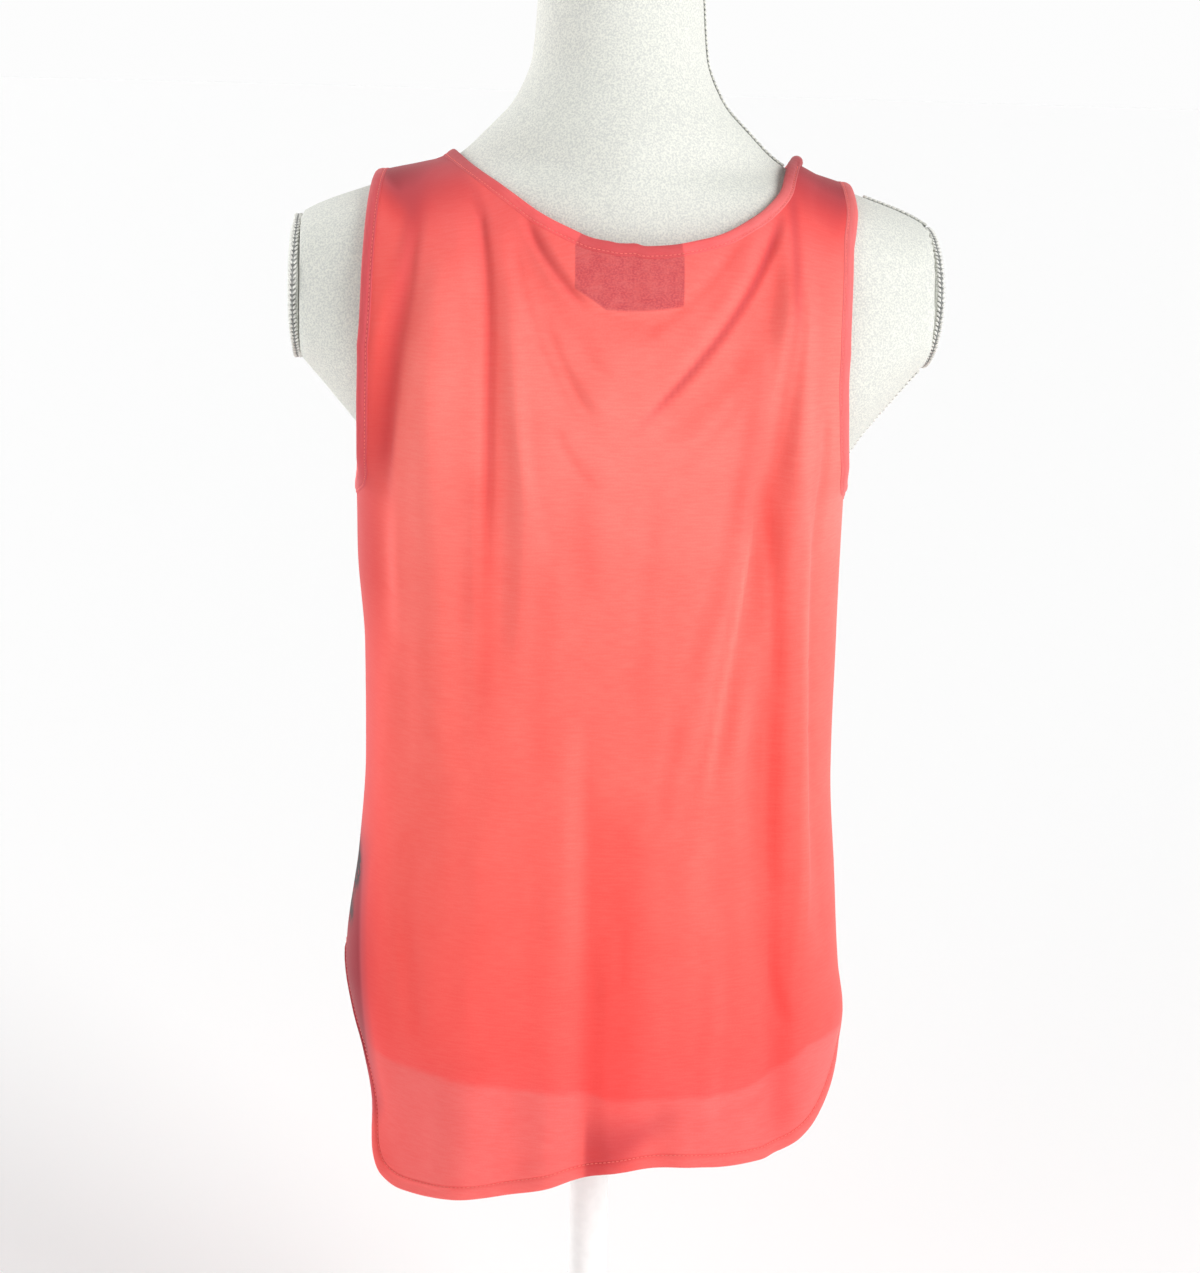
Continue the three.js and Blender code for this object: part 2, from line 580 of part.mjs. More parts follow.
function panel(name, face, finish) {
  const places = panelPlaces(face);
  const hemRow = places.length - 3;
  const spots = places.map((row) => row.map(({ angle, level }) => clothPoint(face, angle, level)));
  const extra = (row) => (row >= hemRow ? (HEM_WALL - WALL) / 2 : 0);
  const rounded = (row) => (row === places.length - 1 ? HEM_ROUND.in : 0);
  const outer = spots.map((row, i) => row.map(({ place, out }) => raise(
    place.clone().addScaledVector(out, extra(i) - rounded(i)))));
  const inner = spots.map((row, i) => row.map(({ place, out }) => raise(
    place.clone().addScaledVector(out, rounded(i) - extra(i) - WALL))));
  return wallSolid(name, finish, outer, inner, face > 0);
}

// One section of a binding: from its sewn edge round its free edge and back inside
const BINDING_SECTION = [
  { into: BINDING_WIDTH, out: 0 },
  { into: BINDING_WIDTH - BINDING_PROUD.outside, out: BINDING_PROUD.outside },
  { into: BINDING_ROUND, out: BINDING_PROUD.outside },
  { into: 0, out: -WALL / 6 },
  { into: 0, out: -WALL * 5 / 6 },
  { into: BINDING_ROUND, out: -WALL - BINDING_PROUD.inside },
  { into: BINDING_WIDTH - BINDING_PROUD.outside, out: -WALL - BINDING_PROUD.inside },
  { into: BINDING_WIDTH, out: -WALL },
];

function bindingSections(edge, face, inward, shares) {
  return shares.map((share) => BINDING_SECTION.map((corner) => {
    const { angle, level } = stepIn(edge, share, face, inward, corner.into);
    const { place, out } = clothPoint(face, angle, level);
    return raise(place.clone().addScaledVector(out, corner.out));
  }));
}

const neckShares = Array.from({ length: COLUMNS.neck + 1 }, (_, i) => i / COLUMNS.neck);
const armholeShares = Array.from({ length: ROWS.yoke + 1 }, (_, i) => yokeShare(i));
const outward = (shares) => shares.slice(0, -1);
const homeward = (shares) => [...shares].reverse().slice(0, -1);

function neckBinding() {
  const backRight = bindingSections(neckEdge(1, -1), 1, -1, homeward(neckShares));
  const backLeft = bindingSections(neckEdge(1, 1), 1, 1, outward(neckShares));
  const frontLeft = bindingSections(neckEdge(-1, 1), -1, -1, homeward(neckShares));
  const frontRight = bindingSections(neckEdge(-1, -1), -1, 1, outward(neckShares));
  const sections = [...backRight, ...backLeft, ...frontLeft, ...frontRight];
  return ringSolid("neck_binding", BINDING_FABRIC, sections, true);
}

function armholeBinding(name, side) {
  const back = bindingSections(armholeEdge(1, side), 1, side, outward(armholeShares));
  const front = bindingSections(armholeEdge(-1, side), -1, -side, homeward(armholeShares));
  return ringSolid(name, BINDING_FABRIC, [...back, ...front], side > 0);
}

// The blank label behind the back neckline, made from the panel's points moved inwards
function neckLabel() {
  const [across, down] = [8, 4];
  const outer = [];
  const inner = [];
  const neckLevel = BACK_NECK[0].level - LABEL.below;
  for (let row = 0; row <= down; row += 1) {
    const spots = [];
    for (let column = 0; column <= across; column += 1) {
      const side = 2 * column / across - 1;
      const level = neckLevel + LABEL.sag * side ** 2 - LABEL.height * row / down;
      const angle = side === 0 ? 0 : angleAtSide(1, side * LABEL.width / 2, level);
      spots.push(clothPoint(1, angle, level));
    }
    const moved = (depth) => spots.map(({ place, out }) => raise(
      place.clone().addScaledVector(out, -depth)));
    outer.push(moved(WALL + LABEL.behind));
    inner.push(moved(WALL + LABEL.behind + LABEL.thick));
  }
  return wallSolid("neck_label", LABEL_FABRIC, outer, inner, true);
}

function dressForm() {
  const rings = FORM_SECTIONS.map(({ z }) => Array.from({ length: FORM_SIDES }, (_, side) => raise(
    formPoint(z, 2 * Math.PI * side / FORM_SIDES))));
  return loftSolid("form_body", FORM_FABRIC, rings);
}

function armPlate(name, side) {
  const { thick, halfDepth, halfHeight, z, middle } = ARM_PLATE;
  const profile = [[0, 0], [1, 0], [1, 0.3], [0.93, 0.62], [0.75, 0.85], [0.45, 0.97], [0, 1]];
  const plate = turnedSolid(name, PLATE_FABRIC, profile, 32);
  plate.geometry.scale(halfDepth, halfHeight, thick);
  plate.geometry.rotateX(RIGHT_ANGLE);
  plate.geometry.rotateZ(side * RIGHT_ANGLE);
  plate.position.set(side * (ARM_FLAT + SEAM_GAP), middle, SHOULDER_HEIGHT + z);
  return plate;
}

function standPieces() {
  const { radius, thick, edge } = BASE;
  const collarTop = SHOULDER_HEIGHT + FORM_BOTTOM - SEAM_GAP;
  const poleTop = collarTop - COLLAR.height - SEAM_GAP;
  const capProfile = [[0, 0], [NECK_CAP.radius, 0], [NECK_CAP.radius, NECK_CAP.thick - NECK_CAP.edge],
    [NECK_CAP.radius - NECK_CAP.edge, NECK_CAP.thick], [0, NECK_CAP.thick]];
  const cap = turnedSolid("neck_cap", STAND_METAL, capProfile, 40);
  cap.position.set(0, NECK_CAP.middle, SHOULDER_HEIGHT + FORM_TOP + SEAM_GAP);
  const collarProfile = [[0, 0], [COLLAR.radius * COLLAR.foot, 0], [COLLAR.radius, COLLAR.flare],
    [COLLAR.radius, COLLAR.height], [0, COLLAR.height]];
  const collar = turnedSolid("stand_collar", STAND_METAL, collarProfile, 40);
  collar.position.z = collarTop - COLLAR.height;
  const poleBottom = thick + SEAM_GAP;
  const poleProfile = [[0, 0], [POLE_RADIUS, 0], [POLE_RADIUS, poleTop - poleBottom],
    [0, poleTop - poleBottom]];
  const pole = turnedSolid("stand_pole", STAND_METAL, poleProfile, 32);
  pole.position.z = poleBottom;
  const baseProfile = [[0, 0], [radius, 0], [radius, thick - edge], [radius - edge, thick], [0, thick]];
  const base = turnedSolid("base_plate", STAND_METAL, baseProfile, 64);
  return [cap, collar, pole, base];
}

const top = new THREE.Group();
top.add(
  panel("back_panel", 1, FABRIC),
  panel("front_panel", -1, PRINTED_FABRIC),
  neckBinding(),
  armholeBinding("armhole_binding_left", 1),
  armholeBinding("armhole_binding_right", -1),
  neckLabel(),
);
const stand = new THREE.Group();
stand.add(
  dressForm(),
  armPlate("arm_plate_left", 1),
  armPlate("arm_plate_right", -1),
  ...standPieces(),
);
const model = new THREE.Group();
model.add(top, stand);

export default model;
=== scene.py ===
"""Looks of a loose sleeveless jersey top, worn on a pale limbless dress form with a round stand.

Places are in millimetres from the form's shoulder point: +Z up, the front faces -Y and the
wearer's left is +X. Finished meshes are in metres, in the part's own frame.
"""

import logging
import math
from dataclasses import dataclass
from enum import Enum
from typing import Any, Callable, Sequence

import bpy
import numpy as np
from mathutils import Matrix, Vector


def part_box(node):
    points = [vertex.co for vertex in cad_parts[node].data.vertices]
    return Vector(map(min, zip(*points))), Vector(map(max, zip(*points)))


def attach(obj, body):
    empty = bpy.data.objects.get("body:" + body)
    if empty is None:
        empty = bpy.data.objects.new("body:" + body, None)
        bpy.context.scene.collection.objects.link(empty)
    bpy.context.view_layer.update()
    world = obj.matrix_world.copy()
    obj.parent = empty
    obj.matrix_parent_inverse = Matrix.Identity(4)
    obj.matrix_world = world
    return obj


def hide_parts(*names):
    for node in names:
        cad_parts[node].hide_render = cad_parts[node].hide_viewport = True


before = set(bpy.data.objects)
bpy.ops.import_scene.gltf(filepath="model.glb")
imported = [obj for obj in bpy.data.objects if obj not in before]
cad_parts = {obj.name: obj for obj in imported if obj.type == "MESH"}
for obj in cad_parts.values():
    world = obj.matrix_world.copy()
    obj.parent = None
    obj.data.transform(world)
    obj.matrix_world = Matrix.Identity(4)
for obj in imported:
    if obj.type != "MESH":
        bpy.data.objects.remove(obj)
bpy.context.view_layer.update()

log = logging.getLogger("jersey_top")
Array = np.ndarray
Places = tuple[Array, Array]

MM = 0.001
RIGHT_ANGLE = math.pi / 2
BODY = "root"
CLOTH_UV = "cloth_uv"
LIGHT_AND_SHADE_ATTRIBUTE = "tone"
WRAP = "wrap"

# Marks beside the left side seam: middle and half height of each oval, then its reach on each face, in mm.
WRAP_OVALS = ((-460, 19), (-488, 8))
WRAP_REACH_BACK = 30
WRAP_REACH_FRONT = 14
HEM_STITCH_INSET = 8.3
PUSH_STEPS = 12
SIDE_STEPS = 40

# Where the form shows through the back, in metres from the middle and from the shoulder point.
# Each slope of its lower edge has a reach, a power and a rise.
FORM_EDGE_LEVEL = (-0.578, -0.584)
FORM_EDGE_LOWEST = 0.03
FORM_EDGE_LEFT = (0.174, 2.0, 0.0065)
FORM_EDGE_RIGHT = (-0.085, 3.0, 0.014)
FORM_EDGE_STEP = (-0.01, 0.02, 0.0, 0.0055)
FORM_EDGE_MOST = 0.024
SOCKET_SIDE = (0.016, 0.011)
SOCKET_SLANT = (-0.058, -0.028)
SOCKET_TOP = (-0.582, -0.611)
LABEL_SIDE = (0.0332, 0.0318)
LABEL_FOOT = -0.0925

# Colours of the cloth's marks and shadows, each part up to 255, and tints that multiply a colour.
BELOW_FORM_TONE = (244, 109, 105)
SOCKET_TONE = (206, 78, 82)
DUSK_TONES = ((187, 62, 70), (148, 24, 40))
MARK_TONE = (26, 20, 24)
GRAIN_TINT = (0.99, 0.80, 0.80, 1)
MOTTLE_TINT = (0.99, 0.82, 0.82, 1)
BINDING_TINT = (0.98, 0.80, 0.80, 1)
CLOUD_TINT = (0.94, 0.95, 0.94, 1)

# The knit's wales and courses, in metres.
WALE = 0.0009
COURSE = 0.0007

# The print's leaves and flecks: scale, length and width in metres, colour, shift of the draw.
LEAVES = (
    (58.0, 0.0068, 0.0026, (22, 20, 26), 0.0),
    (84.0, 0.0040, 0.0018, (34, 30, 36), 0.37),
    (96.0, 0.0022, 0.0011, (250, 214, 196), 0.71),
)
SHADOW = "shadow"
LIFT = "lift"

# Sizes that the solids share
FORM_TOP = 100.0
FORM_BOTTOM = -583.0
SHOULDER_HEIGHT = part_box("form_body")[1].z / MM - FORM_TOP
WALL = 1.4
BINDING_WIDTH = 8.0
CLEAR_OF_FORM = 1.3
HEM_WALL = 2.2
ARM_FLAT = 196.0
ARM_PLATE = {"z": -83.0, "half_height": 43.0, "half_depth": 42.0, "thick": 8.0, "middle": -2.0}

# The cloth hangs straight below this level and arches over the shoulder above it
ARCH_LEVEL = -110.0
ARCH_LENGTH = 165.0
SEAM_FORWARD = 15.0
UNDERARM = -205.0
SECTION_POWER = 2.5
NECK_PART = 12 / 17
YOKE_CROWDING = 1.3
EDGE_PULL = 3
FOLD_ENDS = 0.22
FOLD_SEAM_FADE = 14.0
MOST_PUSH = 40.0


class Face(Enum):
    """Which half of the top, with the sign of its outward Y."""

    BACK = 1
    FRONT = -1


class Side(Enum):
    """The wearer's side, with the sign of its X."""

    LEFT = 1
    RIGHT = -1


def table(names: str, *rows: tuple[float, ...]) -> dict[str, Array]:
    """Makes named columns from rows of numbers.

    Args:
        names: the columns' names, parted by spaces.
        rows: one tuple for each row.

    Returns:
        Each column's values by its name.
    """
    return dict(zip(names.split(), np.array(rows, float).T))


CLOTH_SECTIONS = table(
    "z left right back front",
    (-110, 206, 192, 107, 107), (-130, 198, 184, 107.5, 112), (-150, 189, 176, 108, 118),
    (-180, 176, 164.5, 107.5, 128), (-196, 165.5, 154, 107, 132), (-205, 161.2, 149.3, 107, 134),
    (-250, 160, 149, 106, 141), (-310, 155, 149, 105, 137), (-385, 154, 150, 105, 130),
    (-450, 158, 155, 107, 126), (-521, 166, 161, 110, 123), (-555, 161, 166, 112, 122),
    (-576, 156, 163, 113.5, 122), (-606, 152, 164, 115, 122), (-630, 157, 164, 117, 122),
    (-652, 165, 164, 118, 123),
)
RIDGE = table(
    "x z", (-190, -38), (-147, -18), (-110, 0), (0, 37), (101, 0), (151, -12), (195, -30),
)
BACK_NECKLINE = {
    Side.LEFT: table(
        "share level",
        (0, -62), (0.035, -62), (0.1, -61.3), (0.28, -56), (0.54, -38.4), (0.77, -9.5), (0.89, 13),
        (0.965, 37), (0.995, 55), (1, 70),
    ),
    Side.RIGHT: table(
        "share level",
        (0, -62), (0.035, -62), (0.1, -62.9), (0.28, -60), (0.5, -51.4), (0.67, -38), (0.775, -25),
        (0.857, -9), (0.9, 10), (0.94, 32), (0.975, 53), (1, 70),
    ),
}
FRONT_NECKLINE = table(
    "share level",
    (0, -118), (0.3, -112), (0.58, -90), (0.79, -55), (0.92, -14), (0.985, 20), (1, 40),
)
NECK_HALF = {Side.LEFT: 101.0, Side.RIGHT: 110.0}
SHOULDER_TIP = {Side.LEFT: 149.0, Side.RIGHT: 146.0}
ARMHOLE_LEVELS = (0, -50, -110, -150, -180, -196)
ARMHOLE = {
    Side.LEFT: (155, 158, 161, 161, 161, 161),
    Side.RIGHT: (143, 139, 137.5, 139.5, 143, 146.5),
}
HEM = {
    Face.BACK: table(
        "angle z",
        (-90, -555), (-74, -589), (-65, -608), (-58, -619), (-51, -626), (-37, -628),
        (-22, -626.5), (2, -630), (25, -642), (43, -650), (56, -652.5), (63, -648.5), (68, -639),
        (73, -617), (80, -576), (85, -547), (90, -521),
    ),
    Face.FRONT: table(
        "angle z",
        (-90, -555), (-78, -586), (-60, -606), (-30, -617), (0, -621), (30, -620),
        (58, -608), (76, -574), (90, -521),
    ),
}
FORM_SECTIONS = table(
    "z half middle back front power",
    (100, 51, -14, 50, 51, 2.0), (62, 54, -9, 52, 54, 2.0), (36, 64, -4, 57, 58, 2.0),
    (16, 82, -1, 64, 58, 1.75), (-3, 104, 0, 71, 60, 1.55), (-18, 148, 0, 76, 66, 1.7),
    (-34, 190, 0, 80, 73, 1.8), (-58, 222, -1, 86, 81, 1.9), (-86, 226, -1, 92, 88, 2.0),
    (-108, 213, -2, 97, 93, 2.2), (-126, 196, -2, 100, 99, 2.3), (-148, 177, -2, 102, 105, 2.3),
    (-176, 155, -2, 102, 114, 2.3), (-205, 140, -3, 101, 121, 2.3), (-228, 137, -4, 99, 125, 2.3),
    (-250, 137, -4, 97, 127, 2.3), (-280, 134, -4, 93, 122, 2.3), (-320, 127, -4, 87, 106, 2.3),
    (-352, 120, -4, 82, 95, 2.3), (-385, 118, -3, 80, 90, 2.3), (-418, 123, -2, 83, 91, 2.3),
    (-450, 133, 0, 89, 94, 2.3), (-486, 143, 0, 95, 97, 2.3), (-520, 149, 0, 98, 98, 2.3),
    (-583, 153, 0, 98, 98, 2.3),
)

# Folds: start, bend and end as side and height, the half width, the height out of the cloth
# (a trough's is negative) and how sharp its crest is. The large ones are also in the solids
FOLD_COLUMNS = "x z bend_x bend_z end_x end_z width height sharp"
FOLDS = {
    Face.BACK: table(
        FOLD_COLUMNS,
        (117, -42, 146, -165, 142, -330, 15, -4.5, 1), (93, -13, 76, -150, 75, -330, 16, -3.5, 1),
        (104, -30, 116, -190, 106, -420, 20, 3, 1), (66, -32, 52, -78, 14, -124, 18, -3.5, 1),
        (60, -85, 40, -130, 10, -172, 17, -2.5, 1), (-93, -30, -68, -108, -6, -162, 18, -5.5, 1),
        (-68, -42, -46, -76, -12, -92, 13, -1.4, 1), (-96, -25, -98, -215, -58, -420, 17, 5, 1),
        (-106, -85, -88, -250, -103, -545, 17, -6.5, 1),
        (-116, -120, -110, -320, -137, -540, 15, 4.5, 1),
        (-96, -82, -84, -240, -28, -450, 16, -3.5, 1), (17, -290, 18, -440, 11, -650, 16, -1.6, 1),
        (38, -330, 34, -470, 40, -660, 20, 2.5, 1), (-108, -470, -110, -560, -118, -640, 15, -4, 1),
        (96, -560, 92, -610, 96, -680, 34, 5, 1), (-32, -575, -30, -610, -34, -660, 26, -4, 1),
    ),
    Face.FRONT: table(
        FOLD_COLUMNS,
        (84, -70, 58, -160, 6, -190, 16, -4, 1), (-88, -62, -54, -150, -2, -172, 15, -4.5, 1),
        (116, -60, 132, -170, 126, -300, 15, -4, 1), (-112, -55, -122, -150, -112, -270, 14, -4, 1),
        (72, -235, 80, -420, 96, -660, 22, 6, 1), (-66, -240, -72, -430, -88, -660, 20, 6, 1),
        (8, -260, -4, -430, 10, -660, 26, -5, 1), (118, -300, 122, -440, 128, -620, 16, -4, 1),
        (-112, -290, -116, -420, -124, -640, 17, -4.5, 1),
    ),
}
CREASES = {
    Face.BACK: table(
        FOLD_COLUMNS,
        (119, -22, 137, -105, 146, -215, 8, -2.0, 1.5), (92, -8, 83, -95, 84, -280, 6, -2.4, 1.5),
        (64, -26, 45, -60, 22, -86, 6, -2.8, 1.5), (50, -90, 37, -121, 17, -152, 6, -1.8, 1.4),
        (45, -148, 31, -176, 15, -192, 6, -1.4, 1.2), (27, -111, 18, -118, 9, -125, 5, -0.9, 1),
        (70, -40, 58, -90, 30, -150, 5, -1.1, 1.2), (76, -60, 66, -150, 44, -250, 9, 1.3, 1.2),
        (-93, -24, -66, -84, -5, -160, 7, -3.8, 1.7), (-67, -38, -42, -73, 6, -108, 5, -2.0, 1.5),
        (-80, -22, -58, -78, -14, -128, 9, 1.5, 1.2), (-76, -120, -50, -160, -16, -190, 7, -1.2, 1.2),
        (22, -84, 0, -92, -26, -88, 6, -1.2, 1),
        (-86, -70, -67, -211, -37, -325, 11, -2.25, 1), (-39, -315, -33, -360, -27, -415, 10, -1.5, 1),
        (-103, -60, -104, -120, -95, -200, 5, -1.7, 1.4),
        (-92, -190, -97, -260, -102, -335, 7, -2.9, 1.5),
        (-101, -315, -102, -390, -106, -475, 7, -2.3, 1.4),
        (-106, -455, -108, -505, -122, -548, 8, -2.1, 1.4),
        (-96, -17, -93, -110, -85, -205, 8, 2.1, 1.3), (-84, -195, -70, -290, -52, -405, 6.5, 3.0, 1.5),
        (-112, -190, -118, -330, -125, -520, 7, 2.7, 1.3),
        (-122, -135, -125, -190, -122, -236, 6, -1.65, 1.3), (20, -318, 17, -410, 14, -506, 7, -0.6, 1.3),
        (24, -632, 46, -640, 74, -644, 4, 0.9, 1), (-7, -462, -7, -487, -8, -514, 5, -0.9, 1),
        (66, -624, 35, -618, 3, -615, 7, -1.2, 1), (-47, -602, -73, -594, -98, -587, 7, -1.35, 1),
        (30, -330, 27, -420, 24, -500, 10, 1.2, 1), (150, -262, 128, -268, 104, -264, 4, -0.6, 1),
        (148, -291, 120, -298, 92, -292, 4, -0.52, 1), (146, -318, 122, -322, 100, -330, 5, -0.6, 1),
        (147, -349, 126, -346, 108, -352, 4, -0.52, 1), (145, -372, 118, -380, 96, -376, 4, -0.45, 1),
        (-128, -300, -116, -306, -106, -303, 4, -0.6, 1), (-132, -352, -118, -347, -108, -350, 4, -0.6, 1),
        (-130, -402, -120, -408, -110, -404, 4, -0.52, 1), (70, -60, 64, -160, 58, -250, 9, 1.2, 1),
        (-20, -170, -14, -260, -6, -330, 12, -1.2, 1), (44, -210, 50, -300, 46, -380, 12, -1.05, 1),
        (-60, -440, -66, -520, -62, -600, 11, 1.5, 1), (120, -400, 126, -480, 118, -560, 10, -1.65, 1),
    ),
    Face.FRONT: table(
        FOLD_COLUMNS,
        (88, -64, 60, -130, 16, -176, 8, -2.4, 1.4), (-90, -58, -58, -128, -12, -168, 8, -2.55, 1.4),
        (70, -96, 40, -150, -4, -168, 7, -1.5, 1.2), (-66, -100, -34, -142, 8, -160, 7, -1.35, 1.2),
        (122, -55, 136, -150, 130, -240, 8, -2.25, 1.3), (-118, -50, -126, -140, -118, -230, 7, -2.1, 1.3),
        (64, -240, 72, -380, 84, -540, 9, 2.25, 1.3), (-60, -250, -66, -400, -78, -560, 9, 2.4, 1.3),
        (4, -280, -6, -420, 2, -600, 10, -1.95, 1.2), (36, -300, 40, -430, 50, -590, 9, -1.5, 1),
        (-34, -310, -40, -440, -48, -600, 9, -1.5, 1), (112, -260, 118, -400, 122, -540, 8, -2.25, 1.3),
        (-106, -270, -112, -400, -118, -560, 8, -2.4, 1.3), (90, -180, 60, -204, 28, -214, 8, -1.35, 1),
        (-92, -176, -62, -200, -30, -210, 8, -1.35, 1), (128, -340, 106, -348, 88, -342, 4, -0.6, 1),
        (-126, -372, -108, -380, -90, -374, 4, -0.6, 1), (24, -590, -4, -584, -30, -588, 7, -1.2, 1),
    ),
}

# Painted shade and painted light: soft darker and lighter zones of the back, which also stand for
# where more or less of the pale form shines through: the same columns, with the share by which
# the colour changes for the height
PAINTED_LIGHT_AND_SHADE = table(
    FOLD_COLUMNS,
    (160, 20, 162, -300, 160, -640, 38, -0.22, 1), (-134, -40, -136, -150, -136, -260, 20, 0.05, 1),
    (-98, -130, -108, -330, -116, -600, 26, -0.10, 1), (84, -50, 80, -190, 83, -370, 9, -0.10, 1),
    (-82, -215, -69, -295, -51, -405, 4, 0.07, 1), (-113, -230, -119, -370, -122, -560, 4.5, 0.07, 1),
    (20, -170, 23, -215, 20, -270, 17, -0.06, 1), (86, -180, 88, -225, 88, -290, 13, -0.06, 1),
    (10, -455, 9, -560, 8, -650, 10, -0.055, 0.6),
    (-64, -250, -57, -380, -53, -560, 14, 0.06, 1), (-4, -370, -4, -500, -6, -660, 27, -0.12, 0.7),
    (154, -34, 124, -10, 92, 4, 42, -0.20, 1), (131, -30, 143, -111, 150, -200, 12, -0.07, 1),
    (-150, -38, -120, -14, -94, 0, 40, -0.19, 1), (-74, -100, -76, -150, -70, -230, 16, -0.07, 1),
    (-108, -60, -112, -200, -118, -330, 10, 0.03, 1), (0, -130, 4, -170, 0, -230, 50, 0.03, 1),
    (-101, -14, -100, -60, -100, -130, 9, -0.09, 1), (30, -76, 4, -98, -28, -90, 12, -0.05, 1),
)

# Places in shadow, with the share of the dusky colour for the height
DUSK = table(
    FOLD_COLUMNS,
    (156, -22, 124, 2, 90, 14, 44, 0.96, 1), (-152, -26, -120, -4, -92, 8, 33, 0.88, 1),
    (168, 30, 166, -300, 164, -660, 24, 0.6, 1), (168, -416, 175, -505, 162, -606, 23, 1.3, 0.5),
    (121, -5, 139, -111, 148, -220, 10, 0.35, 1), (-101, -10, -101, -50, -100, -100, 6, 0.3, 1),
    (-94, -20, -66, -84, 4, -166, 5, 0.5, 1), (64, -26, 45, -60, 26, -82, 6, 0.25, 1),
    (92, -8, 83, -95, 84, -240, 6, 0.22, 1),
)

# The hem's and bindings' cross sections: distance into the cloth from the free edge, and how
# far the outer and inner skins stand off the cloth's own
HEM_PROFILE = table(
    "into outer inner",
    (13, 0, 0), (10.6, 0.1, 0), (9.6, 0.2, 0.1), (8.9, -0.2, 0.1), (8.3, -0.6, 0.15),
    (7.6, 0.35, 0.4), (6.6, 0.95, 0.5), (5.2, 1.25, 0.5), (3.6, 1.3, 0.5), (2.0, 1.0, 0.4),
    (0.9, 0.45, 0.1), (0.25, -0.1, -0.3), (0, -0.5, -0.7),
)
BINDING_SECTION = table(
    "into out",
    (8.0, -0.1), (7.6, 0.35), (7.0, 0.5), (6.4, 0.12), (5.8, 0.55), (4.6, 0.95), (3.1, 1.05),
    (1.7, 0.85), (0.7, 0.4), (0.1, -0.3), (0.1, -1.0), (0.6, -1.6), (2.0, -1.9), (4.6, -1.9),
    (6.4, -1.75), (8.0, -1.45),
)
STITCH_INTO = 6.4
STITCH_OUT = 0.3


def smooth_step(share: Array) -> Array:
    """Returns 0 to 1 with a smooth start and end, held outside that range."""
    held = np.clip(share, 0, 1)
    return held * held * (3 - 2 * held)


def to_metres(points: Array) -> Array:
    """Returns points of the worn frame, in millimetres, as metres in the part's frame."""
    return (np.asarray(points, float) + (0, 0, SHOULDER_HEIGHT)) * MM


@dataclass(frozen=True)
class SmoothCurve:
    """A curve through a table's rows that never swings past them."""

    at: Array
    values: Array
    tangents: Array

    @classmethod
    def through(cls, at: Array, values: Array) -> "SmoothCurve":
        """Fits the curve.

        Args:
            at: where each value stands, in any order.
            values: the values there.

        Returns:
            The curve.
        """
        order = np.argsort(at)
        at, values = np.asarray(at, float)[order], np.asarray(values, float)[order]
        slopes = np.diff(values) / np.diff(at)
        before, after = slopes[:-1], slopes[1:]
        same_way = before * after > 0
        whole = np.where(same_way, before + after, 1)
        inner = np.where(same_way, 2 * before * after / whole, 0)
        return cls(at, values, np.concatenate([slopes[:1], inner, slopes[-1:]]))

    def __call__(self, where: Array) -> Array:
        """Returns the curve's values at the given places."""
        i = np.clip(np.searchsorted(self.at, where, side="right") - 1, 0, len(self.at) - 2)
        span = self.at[i + 1] - self.at[i]
        t = np.clip((where - self.at[i]) / span, 0, 1)
        rise = t * t * (3 - 2 * t)
        bend = self.tangents[i] * t * (1 - t) ** 2 - self.tangents[i + 1] * t * t * (1 - t)
        return self.values[i] + (self.values[i + 1] - self.values[i]) * rise + span * bend


def curves_of(columns: dict[str, Array], by: str) -> dict[str, SmoothCurve]:
    """Returns a smooth curve for each column of a table, over the column named by."""
    return {
        name: SmoothCurve.through(columns[by], values)
        for name, values in columns.items() if name != by
    }


@dataclass(frozen=True)
class DrawnLine:
    """A smooth line through a few points, measured by its length."""

    points: Array
    lengths: Array

    @classmethod
    def through(cls, corners: Array, steps: int = 60) -> "DrawnLine":
        """Fits the line.

        Args:
            corners: the points that it runs through.
            steps: straight steps between each two of them.

        Returns:
            The line.
        """
        padded = np.vstack([corners[:1], corners, corners[-1:]])
        t = np.linspace(0, 1, steps, endpoint=False)[:, None]
        parts = []
        for i in range(len(corners) - 1):
            before, start, end, after = padded[i:i + 4]
            leave, arrive = (end - before) / 2, (after - start) / 2
            parts.append(
                (2 * start - 2 * end + leave + arrive) * t ** 3
                + (3 * end - 3 * start - 2 * leave - arrive) * t ** 2 + leave * t + start
            )
        points = np.vstack([*parts, corners[-1:]])
        steps_long = np.linalg.norm(np.diff(points, axis=0), axis=1)
        return cls(points, np.concatenate([[0], np.cumsum(steps_long)]))

    def at(self, share: Array) -> Array:
        """Returns the points at the given shares of the line's length."""
        goal = np.clip(share, 0, 1) * self.lengths[-1]
        return np.stack([np.interp(goal, self.lengths, axis) for axis in self.points.T], -1)


